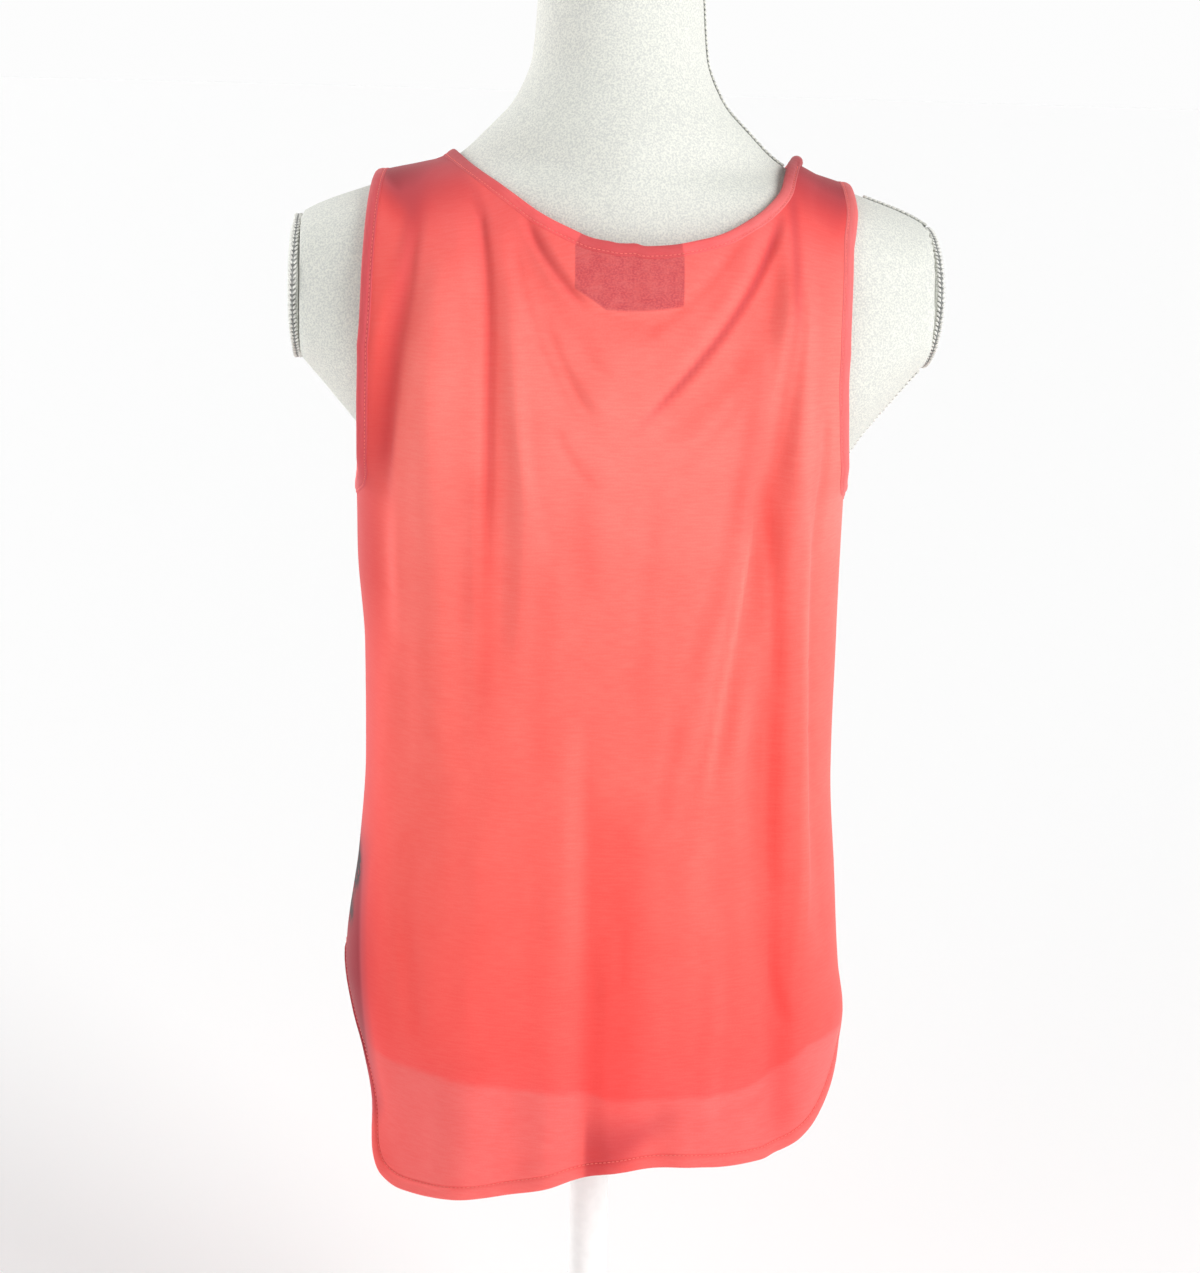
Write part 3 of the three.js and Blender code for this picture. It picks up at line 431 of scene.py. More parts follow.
class FormShape:
    """The dress form's surface."""

    def __init__(self) -> None:
        """Fits curves through the form's sections."""
        self.curves = curves_of(FORM_SECTIONS, "z")

    def point(self, z: Array, turn: Array, grown: Array | float = 0.0) -> Array:
        """Finds points on the form.

        Args:
            z: their heights.
            turn: their turns round the form, from +X over +Y.
            grown: how far outside the form's own surface they lie.

        Returns:
            The points, x y z.
        """
        power = 2 / self.curves["power"](z)
        across = np.sign(np.cos(turn)) * np.abs(np.cos(turn)) ** power
        deep = np.sign(np.sin(turn)) * np.abs(np.sin(turn)) ** power
        depth = np.where(deep > 0, self.curves["back"](z), self.curves["front"](z)) + grown
        x = np.clip((self.curves["half"](z) + grown) * across, -ARM_FLAT, ARM_FLAT)
        y = self.curves["middle"](z) + depth * deep
        return np.stack(np.broadcast_arrays(x, y, z), -1)

    def holds(self, points: Array, clearance: float) -> Array:
        """Returns whether each point lies in the form grown by a clearance."""
        z = points[..., 2] - clearance
        y = points[..., 1] - self.curves["middle"](z)
        depth = np.where(y > 0, self.curves["back"](z), self.curves["front"](z)) + clearance
        power = self.curves["power"](z)
        across = np.abs(points[..., 0]) / (self.curves["half"](z) + clearance)
        inside = across ** power + (np.abs(y) / depth) ** power < 1
        return inside & (z <= FORM_TOP) & (points[..., 2] >= FORM_BOTTOM)


@dataclass
class Rumple:
    """Small uneven waves all over the cloth, from a few seeded sines."""

    seed: int
    waves: int = 26
    height: float = 0.16

    def __post_init__(self) -> None:
        """Draws the waves' directions, lengths and phases."""
        draw = np.random.default_rng(self.seed)
        lengths = draw.uniform(16, 70, self.waves)
        turns = draw.normal(0, 0.6, self.waves)
        self.across = np.cos(turns) / lengths * 2 * math.pi
        self.down = 0.55 * np.sin(turns) / lengths * 2 * math.pi
        self.phases = draw.uniform(0, 2 * math.pi, self.waves)

    def at(self, x: Array, z: Array) -> Array:
        """Returns the waves' height at side and height."""
        total = sum(
            np.sin(a * x + d * z + p) for a, d, p in zip(self.across, self.down, self.phases)
        )
        return self.height * total / math.sqrt(self.waves / 2)


class WornCloth:
    """One half of the worn top as a surface over angle and level, with its folds."""

    def __init__(self, face: Face, form: FormShape) -> None:
        """Fits the surface.

        Args:
            face: the half that it is.
            form: the form that it clears.
        """
        self.face = face
        self.form = form
        self.sections = curves_of(CLOTH_SECTIONS, "z")
        self.ridge = curves_of(RIDGE, "x")["z"]
        self.rumple = Rumple(seed=11 if face is Face.BACK else 23)
        self.seam_level = ARCH_LEVEL + ARCH_LENGTH + face.value * SEAM_FORWARD

    def section(self, angle: Array, level: Array) -> Places:
        """Returns side and depth of the smooth cloth at angle and level."""
        z = np.minimum(level, ARCH_LEVEL)
        half = np.where(angle >= 0, self.sections["left"](z), self.sections["right"](z))
        deep = self.sections["back" if self.face is Face.BACK else "front"](z)
        across, out = np.abs(np.sin(angle)) / half, np.abs(np.cos(angle)) / deep
        reach = (across ** SECTION_POWER + out ** SECTION_POWER) ** (-1 / SECTION_POWER)
        return reach * np.sin(angle), reach * np.cos(angle)

    def smooth(self, angle: Array, level: Array) -> Array:
        """Returns points of the cloth without its folds."""
        x, out = self.section(angle, level)
        turn = RIGHT_ANGLE * (1 - (level - ARCH_LEVEL) / ARCH_LENGTH)
        arched = level > ARCH_LEVEL
        over = ARCH_LEVEL + (self.ridge(x) - ARCH_LEVEL) * np.cos(turn)
        y = self.face.value * out * np.where(arched, np.sin(turn), 1)
        return np.stack(np.broadcast_arrays(x, y, np.where(arched, over, level)), -1)

    def slopes(self, angle: Array, level: Array) -> tuple[Array, Array, Array]:
        """Returns the cloth's run by angle, its run by level and its outward normal."""
        turn, rise = 0.004, 0.5
        round_way = (self.smooth(angle + turn, level) - self.smooth(angle - turn, level)) / (2 * turn)
        up_way = (self.smooth(angle, level + rise) - self.smooth(angle, level - rise)) / (2 * rise)
        out = np.cross(round_way, up_way) * -self.face.value
        return round_way, up_way, out / np.linalg.norm(out, axis=-1, keepdims=True)

    def fold_height(self, folds: dict[str, Array], x: Array, z: Array) -> Array:
        """Adds up folds.

        Args:
            folds: their table.
            x: side of each place.
            z: height of each place.

        Returns:
            How far each place stands out.
        """
        here = np.stack([x, z], -1)
        total = np.zeros(np.shape(x))
        t = np.linspace(0, 1, 15)[:, None]
        for row in zip(*folds.values()):
            start, middle, end = np.array(row[:6]).reshape(3, 2)
            width, height, sharp = row[6:]
            bend = 2 * middle - (start + end) / 2
            line = start * (1 - t) ** 2 + bend * 2 * t * (1 - t) + end * t ** 2
            nearest, along = np.full(total.shape, np.inf), np.zeros(total.shape)
            for i in range(1, len(line)):
                step = line[i] - line[i - 1]
                part = np.clip((here - line[i - 1]) @ step / (step @ step), 0, 1)
                away = np.linalg.norm(here - line[i - 1] - part[..., None] * step, axis=-1)
                closer = away < nearest
                nearest = np.where(closer, away, nearest)
                along = np.where(closer, (i - 1 + part) / (len(line) - 1), along)
            fade = smooth_step(along / FOLD_ENDS)
            if end[1] >= FORM_BOTTOM:
                fade = fade * smooth_step((1 - along) / FOLD_ENDS)
            crest = 0.5 * (1 + np.cos(math.pi * np.minimum(nearest / width, 1)))
            total += height * fade * crest ** sharp
        return total

    def point(self, angle: Array, level: Array) -> Places:
        """Finds the worn cloth's outer skin.

        Args:
            angle: angles round the body, 0 at the middle and a right angle at the side seam.
            level: heights, which go on as cloth length over the shoulder.

        Returns:
            The points and their outward normals.
        """
        angle, level = np.broadcast_arrays(angle, level)
        place, out = self.smooth(angle, level), self.slopes(angle, level)[2]
        x, z = place[..., 0], place[..., 2]
        folds = sum(self.fold_height(group[self.face], x, z) for group in (FOLDS, CREASES))
        seam_fade = smooth_step((90 - np.abs(np.degrees(angle))) / FOLD_SEAM_FADE)
        before_seam = level <= ARCH_LEVEL + ARCH_LENGTH
        edge_fade = smooth_step((self.seam_level - level) / 20)
        height = folds * seam_fade * before_seam + self.rumple.at(x, z) * seam_fade * edge_fade
        place = place + out * height[..., None]
        low = np.zeros(place.shape[:-1])
        high = np.where(self.form.holds(place - out * HEM_WALL, CLEAR_OF_FORM), MOST_PUSH, 0.0)
        for _ in range(PUSH_STEPS):
            push = (low + high) / 2
            pushed = place + out * (push - HEM_WALL)[..., None]
            inside = self.form.holds(pushed, CLEAR_OF_FORM)
            low, high = np.where(inside, push, low), np.where(inside, high, push)
        return place + out * high[..., None], out

    def tone(self, angle: Array, level: Array) -> Array:
        """Returns the share of painted light, or of painted shade if negative, along folds, creases and the
        back's strokes.
        """
        place = self.smooth(angle, level)
        x, z = place[..., 0], place[..., 2]
        # Painted light on fold crests and painted shade in their troughs.
        shade = 0.006 * self.fold_height(FOLDS[self.face], x, z)
        shade += 0.022 * self.fold_height(CREASES[self.face], x, z)
        shade *= smooth_step((90 - np.abs(np.degrees(angle))) / FOLD_SEAM_FADE)
        return shade + (self.fold_height(PAINTED_LIGHT_AND_SHADE, x, z) if self.face is Face.BACK else 0)

    def shadow(self, angle: Array, level: Array) -> Array:
        """Returns how far the cloth takes the dusky colour, from 0 to 1."""
        place = self.smooth(angle, level)
        shade = np.clip(self.fold_height(DUSK, place[..., 0], place[..., 2]), 0, 1)
        if self.face is Face.FRONT:
            shade *= smooth_step((np.degrees(angle) - 80) / 8)
        return shade

    def angle_at_side(self, x: Array, level: Array) -> Array:
        """Returns the angle at which the smooth cloth has a given side distance."""
        x, level = np.broadcast_arrays(np.asarray(x, float), level)
        side = np.sign(x)
        low, high = np.zeros(x.shape), np.full(x.shape, RIGHT_ANGLE)
        for _ in range(SIDE_STEPS):
            middle = (low + high) / 2
            short = np.abs(self.section(side * middle, level)[0]) < np.abs(x)
            low, high = np.where(short, middle, low), np.where(short, high, middle)
        return side * low

    def girth_to(self, angle: Array, level: Array) -> Array:
        """Returns the length of cloth from the middle to an angle, signed as the angle is."""
        total = np.zeros(np.shape(angle))
        before = np.stack(self.section(np.zeros_like(angle), level), -1)
        for share in np.linspace(0, 1, 25)[1:]:
            here = np.stack(self.section(angle * share, level), -1)
            total += np.linalg.norm(here - before, axis=-1)
            before = here
        return total * np.sign(angle)


Edge = Callable[[Array], Places]


def neckline(cloth: WornCloth, side: Side) -> Edge:
    """Draws half a neckline, mirrored past the centre and running straight past the seam.

    Args:
        cloth: the half of the top.
        side: the side of it.

    Returns:
        A function from share of the line, 0 at the centre, to angle and level.
    """
    rows = BACK_NECKLINE[side] if cloth.face is Face.BACK else FRONT_NECKLINE
    half = NECK_HALF[side]
    line = DrawnLine.through(np.stack([rows["share"] * half, rows["level"]], -1))

    def edge(share: Array) -> Places:
        """Returns angle and level at a share of the neckline."""
        x, level = np.moveaxis(line.at(np.abs(share)), -1, 0)
        past = np.maximum(share - 1, 0)
        angle = cloth.angle_at_side(side.value * x, level) * np.where(share < 0, -1, 1)
        return angle, level + past

    return edge


def armhole(cloth: WornCloth, side: Side) -> Edge:
    """Draws half an armhole from the shoulder seam to the side seam, mirrored past it.

    Args:
        cloth: the half of the top.
        side: the side of it.

    Returns:
        A function from share of the line, 0 at the shoulder, to angle and level.
    """
    drawn = 100.0
    levels = np.array([cloth.seam_level, *ARMHOLE_LEVELS])
    across = side.value * np.array([SHOULDER_TIP[side], *ARMHOLE[side]])
    angles = side.value * cloth.angle_at_side(across, levels) * drawn
    corners = np.stack([angles, levels], -1)
    last = corners[-1]
    underarm = np.array([RIGHT_ANGLE * drawn, UNDERARM])
    mirrored = np.array([2 * underarm[0] - last[0], last[1]])
    steps = 60
    line = DrawnLine.through(np.vstack([corners, underarm, mirrored]), steps)
    part = line.lengths[-1 - steps] / line.lengths[-1]

    def edge(share: Array) -> Places:
        """Returns angle and level at a share of the armhole."""
        angle, level = np.moveaxis(line.at(np.asarray(share) * part), -1, 0)
        return side.value * angle / drawn, level + np.maximum(-np.asarray(share), 0)

    return edge


def step_in(cloth: WornCloth, edge: Edge, share: Array, inward: int, distance: Array) -> Places:
    """Steps from an edge into the cloth, square to the edge.

    Args:
        cloth: the half of the top.
        edge: the edge's line.
        share: places on it.
        inward: 1 or -1, which way the cloth lies.
        distance: how far to step.

    Returns:
        Angle and level of the places reached.
    """
    share = np.asarray(share, float)
    near = 0.004
    angle, level = edge(share)
    at_seam = np.abs(level - cloth.seam_level) < 1e-9
    before = edge(np.where(at_seam & (share > 0), share, share - near))
    after = edge(np.where(at_seam & (share == 0), share, share + near))
    round_way, up_way, out = cloth.slopes(angle, level)
    along = round_way * (after[0] - before[0])[..., None] + up_way * (after[1] - before[1])[..., None]
    along /= np.linalg.norm(along, axis=-1, keepdims=True)
    into = np.cross(out, along) * inward * np.asarray(distance)[..., None]
    return shift(angle, level, round_way, up_way, into)


def shift(angle: Array, level: Array, round_way: Array, up_way: Array, move: Array) -> Places:
    """Returns angle and level after a small move along the cloth."""
    rr, uu = (round_way ** 2).sum(-1), (up_way ** 2).sum(-1)
    ru = (round_way * up_way).sum(-1)
    ri, ui = (round_way * move).sum(-1), (up_way * move).sum(-1)
    whole = rr * uu - ru * ru
    return angle + (ri * uu - ui * ru) / whole, level + (ui * rr - ri * ru) / whole


def grid_faces(rows: int, columns: int, first: int = 0) -> Array:
    """Returns the quads of a grid of points whose numbers start at first."""
    corner = first + np.arange(rows - 1)[:, None] * columns + np.arange(columns - 1)
    return np.stack([corner, corner + columns, corner + columns + 1, corner + 1], -1).reshape(-1, 4)


def signed_volume(points: Array, faces: Sequence[Sequence[int]]) -> float:
    """Returns six times the volume inside closed faces, negative where they point inwards."""
    total = 0.0
    for count in {len(face) for face in faces}:
        loop = points[np.array([face for face in faces if len(face) == count])]
        for i in range(1, count - 1):
            total += (loop[:, 0] * np.cross(loop[:, i], loop[:, i + 1])).sum()
    return total


def make_piece(name: str, points: Array, faces: Sequence[Sequence[int]], uv: Array | None = None,
               smooth: bool = True) -> bpy.types.Object:
    """Makes a mesh object at the origin from worn-frame points, with its faces outwards.

    Args:
        name: the piece's name.
        points: its points in millimetres.
        faces: its faces, all turned the same way.
        uv: a place on the flat cloth for each point, in metres.
        smooth: whether its shading is smooth.

    Returns:
        The object, linked to the scene.
    """
    faces = [list(map(int, face)) for face in faces]
    if signed_volume(points, faces) < 0:
        faces = [face[::-1] for face in faces]
    mesh = bpy.data.meshes.new(name)
    mesh.from_pydata(to_metres(points).tolist(), [], faces)
    if uv is not None:
        corners = np.zeros(len(mesh.loops), np.int32)
        mesh.loops.foreach_get("vertex_index", corners)
        layer = mesh.uv_layers.new(name=CLOTH_UV)
        layer.data.foreach_set("uv", uv[corners].astype(np.float32).ravel())
    mesh.polygons.foreach_set("use_smooth", [smooth] * len(mesh.polygons))
    mesh.update()
    piece = bpy.data.objects.new(name, mesh)
    bpy.context.scene.collection.objects.link(piece)
    return piece


def add_values(piece: bpy.types.Object, name: str, values: Array) -> None:
    """Stores one value for each point of a piece, for its material to read.

    Args:
        piece: the piece.
        name: the attribute's name.
        values: the values, for one skin of a wall or for all its points.
    """
    flat = np.asarray(values, np.float32).ravel()
    whole = np.resize(flat, len(piece.data.vertices))
    piece.data.attributes.new(name, "FLOAT", "POINT").data.foreach_set("value", whole)


def shell_piece(name: str, outer: Array, inner: Array, uv: Array) -> bpy.types.Object:
    """Makes a closed wall from two equal grids of points.

    Args:
        name: the piece's name.
        outer: the outer skin, rows by columns.
        inner: the inner skin.
        uv: places on the flat cloth for one skin.

    Returns:
        The object.
    """
    rows, columns = outer.shape[:2]
    skin = rows * columns
    rim = np.concatenate([
        np.arange(columns - 1), np.arange(rows - 1) * columns + columns - 1,
        skin - 1 - np.arange(columns - 1), (rows - 1 - np.arange(rows - 1)) * columns,
    ])
    after = np.roll(rim, -1)
    faces = np.vstack([
        grid_faces(rows, columns),
        grid_faces(rows, columns, skin)[:, ::-1],
        np.stack([rim + skin, rim, after, after + skin], -1),
    ])
    points = np.vstack([outer.reshape(-1, 3), inner.reshape(-1, 3)])
    return make_piece(name, points, faces, np.vstack([uv.reshape(-1, 2)] * 2))


def ring_piece(name: str, sections: Array, uv: Array) -> bpy.types.Object:
    """Makes a closed ring from equal closed sections, with its seam at the first section."""
    count, sides = sections.shape[:2]
    i = np.arange(count)[:, None]
    j = np.arange(sides)
    following, beside = (i + 1) % count, (j + 1) % sides
    corners = (i * sides + j, following * sides + j, following * sides + beside, i * sides + beside)
    faces = np.stack(np.broadcast_arrays(*corners), -1).reshape(-1, 4)
    return make_piece(name, sections.reshape(-1, 3), faces, uv.reshape(-1, 2))


def loft_piece(name: str, rings: Array, uv: Array | None = None) -> bpy.types.Object:
    """Makes a solid from rings of points, with a fan over each end."""
    count, sides = rings.shape[:2]
    j = np.arange(sides)
    beside = (j + 1) % sides
    i = np.arange(count - 1)[:, None] * sides
    corners = (i + j, i + sides + j, i + sides + beside, i + beside)
    walls = np.stack(np.broadcast_arrays(*corners), -1).reshape(-1, 4)
    first, last = count * sides, count * sides + 1
    base = (count - 1) * sides
    fans = [(first, a, b) for a, b in zip(j, beside)]
    fans += [(last, base + b, base + a) for a, b in zip(j, beside)]
    points = np.vstack([rings.reshape(-1, 3), rings[0].mean(0), rings[-1].mean(0)])
    if uv is not None:
        uv = np.vstack([uv.reshape(-1, 2), uv[0].mean(0), uv[-1].mean(0)])
    return make_piece(name, points, [*walls.tolist(), *fans], uv)


def rounded_profile(corners: Sequence[tuple[float, float]], radius: float) -> Array:
    """Rounds the inner corners of a profile.

    Args:
        corners: radius and height of each corner, from end to end.
        radius: how far from each corner the rounding starts.

    Returns:
        The profile's points.
    """
    points = [np.array(corners[0], float)]
    for before, corner, after in zip(corners, corners[1:], corners[2:]):
        corner = np.array(corner, float)
        ways = [np.array(end, float) - corner for end in (before, after)]
        start, end = (corner + way * min(radius / np.linalg.norm(way), 0.45) for way in ways)
        points += [
            start * (1 - t) ** 2 + 2 * corner * t * (1 - t) + end * t * t for t in np.linspace(0, 1, 6)
        ]
    return np.array([*points, corners[-1]])


def turned_piece(name: str, corners: Sequence[tuple[float, float]], centre: Sequence[float],
                 rounding: float, sides: int = 96) -> bpy.types.Object:
    """Turns a profile of radius and height about an upright axis through centre."""
    profile = rounded_profile(corners, rounding)
    turn = np.linspace(0, 2 * math.pi, sides, endpoint=False)
    rings = np.stack(np.broadcast_arrays(
        profile[:, :1] * np.cos(turn), profile[:, :1] * np.sin(turn), profile[:, 1:]), -1)
    return loft_piece(name, rings + np.array(centre))


class NodeSketch:
    """Writes a node tree one node at a time."""

    def __init__(self, tree: bpy.types.NodeTree) -> None:
        """Keeps the tree that the nodes go into."""
        self.tree = tree

    def add(self, kind: str, inputs: dict[str | int, Any] | None = None, **settings: Any) -> bpy.types.Node:
        """Adds a node.

        Args:
            kind: its type.
            inputs: a value or the socket to link, by the input's name or number.
            settings: the node's own properties.

        Returns:
            The node.
        """
        node = self.tree.nodes.new(kind)
        for name, value in settings.items():
            setattr(node, name, value)
        for name, value in (inputs or {}).items():
            if isinstance(value, bpy.types.NodeSocket):
                self.tree.links.new(value, node.inputs[name])
            else:
                node.inputs[name].default_value = value
        return node

    def math(self, operation: str, *values: Any, clamp: bool = False) -> bpy.types.NodeSocket:
        """Returns the result of a Math node."""
        inputs = dict(enumerate(values))
        return self.add("ShaderNodeMath", inputs, operation=operation, use_clamp=clamp).outputs[0]

    def vector(self, operation: str, *values: Any) -> bpy.types.Node:
        """Returns a Vector Math node."""
        return self.add("ShaderNodeVectorMath", dict(enumerate(values)), operation=operation)

    def between(self, value: Any, start: float, end: float, low: float = 0.0,
                high: float = 1.0) -> bpy.types.NodeSocket:
        """Returns a value moved smoothly from one range to another, and held there."""
        inputs = {"Value": value, "From Min": start, "From Max": end, "To Min": low, "To Max": high}
        node = self.add("ShaderNodeMapRange", inputs, interpolation_type="SMOOTHSTEP")
        return node.outputs["Result"]

    def blend(self, share: Any, under: Any, over: Any, mode: str = "MIX") -> bpy.types.NodeSocket:
        """Returns one colour laid over another."""
        node = self.add("ShaderNodeMix", {0: share, 6: under, 7: over}, data_type="RGBA", blend_type=mode)
        return node.outputs[2]

    def noise(self, where: Any, scale: float, detail: float = 2.0, stretch: Sequence[float] = (1, 1, 1),
              ) -> bpy.types.NodeSocket:
        """Returns noise from 0 to 1, finer along the axes with the larger stretch."""
        moved = self.vector("MULTIPLY", where, tuple(stretch)).outputs[0]
        inputs = {"Vector": moved, "Scale": scale, "Detail": detail, "Roughness": 0.55}
        return self.add("ShaderNodeTexNoise", inputs, noise_dimensions="3D").outputs["Fac"]

    def times(self, first: Any, second: Any, clamp: bool = False) -> bpy.types.NodeSocket:
        """Returns the product of two values."""
        return self.math("MULTIPLY", first, second, clamp=clamp)

    def plus(self, first: Any, second: Any) -> bpy.types.NodeSocket:
        """Returns the sum of two values."""
        return self.math("ADD", first, second)

    def minus(self, first: Any, second: Any) -> bpy.types.NodeSocket:
        """Returns the first value less the second."""
        return self.math("SUBTRACT", first, second)

    def slope(self, value: Any, reach: float, power: float) -> bpy.types.NodeSocket:
        """Returns a curve that rises to one side of nought and reaches 1 at the reach."""
        return self.math("POWER", self.math("MAXIMUM", self.math("DIVIDE", value, reach), 0.0), power)

    def tinted(self, colour: Any, share: Any) -> bpy.types.NodeSocket:
        """Returns a colour made lighter by a share, or darker by a negative one."""
        green_blue = self.math("ADD", 1.0, self.math("MULTIPLY", share, 2.2))
        red = self.math("MINIMUM", self.math("ADD", 1.0, self.math("MULTIPLY", share, 0.5)), 1.02)
        by = self.add("ShaderNodeCombineXYZ", {0: red, 1: green_blue, 2: green_blue}).outputs[0]
        return self.vector("MULTIPLY", colour, by).outputs[0]


def srgb(red: float, green: float, blue: float) -> tuple[float, float, float, float]:
    """Returns a screen colour, each part from 0 to 255, as linear light."""
    parts = [value / 255 for value in (red, green, blue)]
    return (*(p / 12.92 if p <= 0.04045 else ((p + 0.055) / 1.055) ** 2.4 for p in parts), 1.0)


@dataclass(frozen=True)
class Finish:
    """A surface finish. Each kind fills in its colour and relief."""

    name: str
    slot: str
    roughness: float = 0.8
    specular: float = 0.3
    sheen: float = 0.0
    metallic: float = 0.0
    relief: float = 0.3

    def paint(self, sketch: NodeSketch) -> tuple[Any, Any]:
        """Returns the colour socket and the relief socket in metres."""
        raise NotImplementedError

    def build(self) -> bpy.types.Material:
        """Makes the finish's material.

        Returns:
            The material, with its colour and bump from nodes.
        """
        material = bpy.data.materials.new(self.name)
        material.use_nodes = True
        tree = material.node_tree
        tree.nodes.clear()
        sketch = NodeSketch(tree)
        colour, height = self.paint(sketch)
        bump = sketch.add("ShaderNodeBump", {"Height": height, "Strength": self.relief, "Distance": 1.0})
        shader = sketch.add("ShaderNodeBsdfPrincipled", {
            "Base Color": colour, "Normal": bump.outputs[0], "Roughness": self.roughness,
            "Metallic": self.metallic, "Specular IOR Level": self.specular,
            "Sheen Weight": self.sheen, "Sheen Roughness": 0.45,
        })
        output = sketch.add("ShaderNodeOutputMaterial")
        tree.links.new(shader.outputs[0], output.inputs[0])
        return material


@dataclass(frozen=True)
class JerseyFinish(Finish):
    """Thin knitted jersey whose colour deepens down the body, partly as the form shows through it and partly
    as painted shade.
    """

    # Colour by height from the shoulder point, in metres: painted light on the upper back, painted shade
    # further down and at the shoulder tops, mixed with the pale form showing through.
    tones: tuple[tuple[float, tuple[float, float, float]], ...] = (
        (-0.590, (248, 90, 87)), (-0.545, (250, 94, 88)), (-0.485, (251, 100, 92)),
        (-0.427, (252, 107, 98)), (-0.37, (252, 111, 101)), (-0.30, (252, 114, 104)),
        (-0.23, (252, 122, 112)), (-0.17, (252, 127, 117)), (-0.12, (252, 126, 116)),
        (-0.07, (251, 118, 110)), (-0.03, (248, 106, 102)), (0.03, (236, 92, 95)),
    )
    printed: bool = False
    see_through: bool = True

    def knit(self, sketch: NodeSketch, uv: Any) -> tuple[Any, Any, Any]:
        """Returns the knit's relief, its streaky grain and the soft mottling."""
        flat = sketch.add("ShaderNodeSeparateXYZ", {0: uv})
        wales = sketch.math("SINE", sketch.times(flat.outputs[0], 2 * math.pi / WALE))
        courses = sketch.math("SINE", sketch.times(flat.outputs[1], 2 * math.pi / COURSE))
        loops = sketch.times(wales, courses)
        slub = sketch.noise(uv, 90.0, 3.0, (1.0, 8.0, 1.0))
        mottle = sketch.noise(uv, 34.0, 4.0)
        fleck = sketch.noise(uv, 950.0, 2.0)
        height = sketch.times(loops, 0.00004)
        height = sketch.plus(height, sketch.times(slub, 0.00022))
        height = sketch.plus(height, sketch.times(fleck, 0.00010))
        grain = sketch.plus(sketch.times(slub, 0.6), sketch.times(fleck, 0.4))
        return height, grain, mottle

    def paint(self, sketch: NodeSketch) -> tuple[Any, Any]:
        """Returns the jersey's colour and relief."""
        uv = sketch.add("ShaderNodeUVMap", uv_map=CLOTH_UV).outputs[0]
        whole = sketch.add("ShaderNodeTexCoord").outputs["Object"]
        place = sketch.vector("SUBTRACT", whole, (0.0, 0.0, SHOULDER_HEIGHT * MM)).outputs[0]
        flat = sketch.add("ShaderNodeSeparateXYZ", {0: place})
        height, grain, mottle = self.knit(sketch, uv)
        # The height ramp below paints light and shade into the colour.
        low, high = self.tones[0][0], self.tones[-1][0]
        ramp = sketch.add("ShaderNodeValToRGB", {
            0: sketch.add("ShaderNodeMapRange", {
                "Value": flat.outputs[2], "From Min": low, "From Max": high}).outputs[0]})
        stops = ramp.color_ramp.elements
        for _ in self.tones[2:]:
            stops.new(0.5)
        for stop, (level, tone) in zip(stops, self.tones):
            stop.position = (level - low) / (high - low)
            stop.color = srgb(*tone)
        colour = ramp.outputs[0]
        if self.see_through:
            colour = self.form_behind(sketch, uv, flat, colour)
        colour = sketch.blend(sketch.between(grain, 0.36, 0.64, 0.0, 0.75), colour, GRAIN_TINT, "MULTIPLY")
        colour = sketch.blend(sketch.between(mottle, 0.35, 0.68, 0.0, 0.38), colour, MOTTLE_TINT, "MULTIPLY")
        if self.printed:
            colour = self.leaf_print(sketch, uv, colour)
        # Painted light and shade from the tone attribute, then painted shadow in the dusky colours, then the
        # print's marks beside the seam.
        wrap = sketch.add("ShaderNodeAttribute", attribute_name=WRAP).outputs["Fac"]
        tone = sketch.add("ShaderNodeAttribute", attribute_name=LIGHT_AND_SHADE_ATTRIBUTE).outputs["Fac"]
        shadow = sketch.add("ShaderNodeAttribute", attribute_name=SHADOW).outputs["Fac"]
        dusk = sketch.blend(sketch.between(shadow, 0.72, 1.0), *(srgb(*tone) for tone in DUSK_TONES))
        share = sketch.times(shadow, 1.25, clamp=True)
        colour = sketch.blend(share, sketch.tinted(colour, tone), dusk)
        marks = sketch.between(sketch.noise(uv, 190.0, 2.0), 0.39, 0.43)
        return sketch.blend(sketch.times(wrap, marks), colour, srgb(*MARK_TONE)), height

    def form_behind(self, sketch: NodeSketch, uv: Any, flat: bpy.types.Node, colour: Any) -> Any:
        """Returns the colour with the form's lower edge, its socket and the neck label behind."""
        across, level = flat.outputs[0], flat.outputs[2]
        from_low = sketch.plus(across, FORM_EDGE_LOWEST)
        left, right = (sketch.times(sketch.slope(from_low, reach, power), most)
                       for reach, power, most in (FORM_EDGE_LEFT, FORM_EDGE_RIGHT))
        rise = sketch.plus(sketch.plus(left, right), sketch.between(across, *FORM_EDGE_STEP))
        edge = sketch.minus(level, sketch.math("MINIMUM", rise, FORM_EDGE_MOST))
        wobble = sketch.times(sketch.minus(sketch.noise(uv, 30.0, 2.0), 0.5), 0.006)
        edge = sketch.plus(edge, wobble)
        below = sketch.between(edge, *FORM_EDGE_LEVEL)
        colour = sketch.blend(below, colour, srgb(*BELOW_FORM_TONE))
        slanted = sketch.plus(across, sketch.times(sketch.plus(level, 0.594), 1.15))
        slanted = sketch.plus(slanted, wobble)
        socket = sketch.times(sketch.between(across, *SOCKET_SIDE), sketch.between(slanted, *SOCKET_SLANT))
        socket = sketch.times(socket, sketch.between(level, *SOCKET_TOP))
        colour = sketch.blend(sketch.times(socket, 0.8), colour, srgb(*SOCKET_TONE))
        inside = sketch.times(sketch.between(sketch.math("ABSOLUTE", across), *LABEL_SIDE),
                             sketch.between(self.label_foot(sketch, uv), 0.0, 0.0018))
        speckle = sketch.noise(uv, 1300.0, 3.0, (0.6, 1.0, 1.0))
        cloud = sketch.noise(uv, 130.0, 3.0)
        label = sketch.blend(sketch.between(speckle, 0.36, 0.66), srgb(197, 80, 86), srgb(216, 98, 98))
        label = sketch.blend(sketch.between(cloud, 0.4, 0.65, 0.0, 0.5), label, srgb(222, 108, 106))
        return sketch.blend(inside, colour, label)

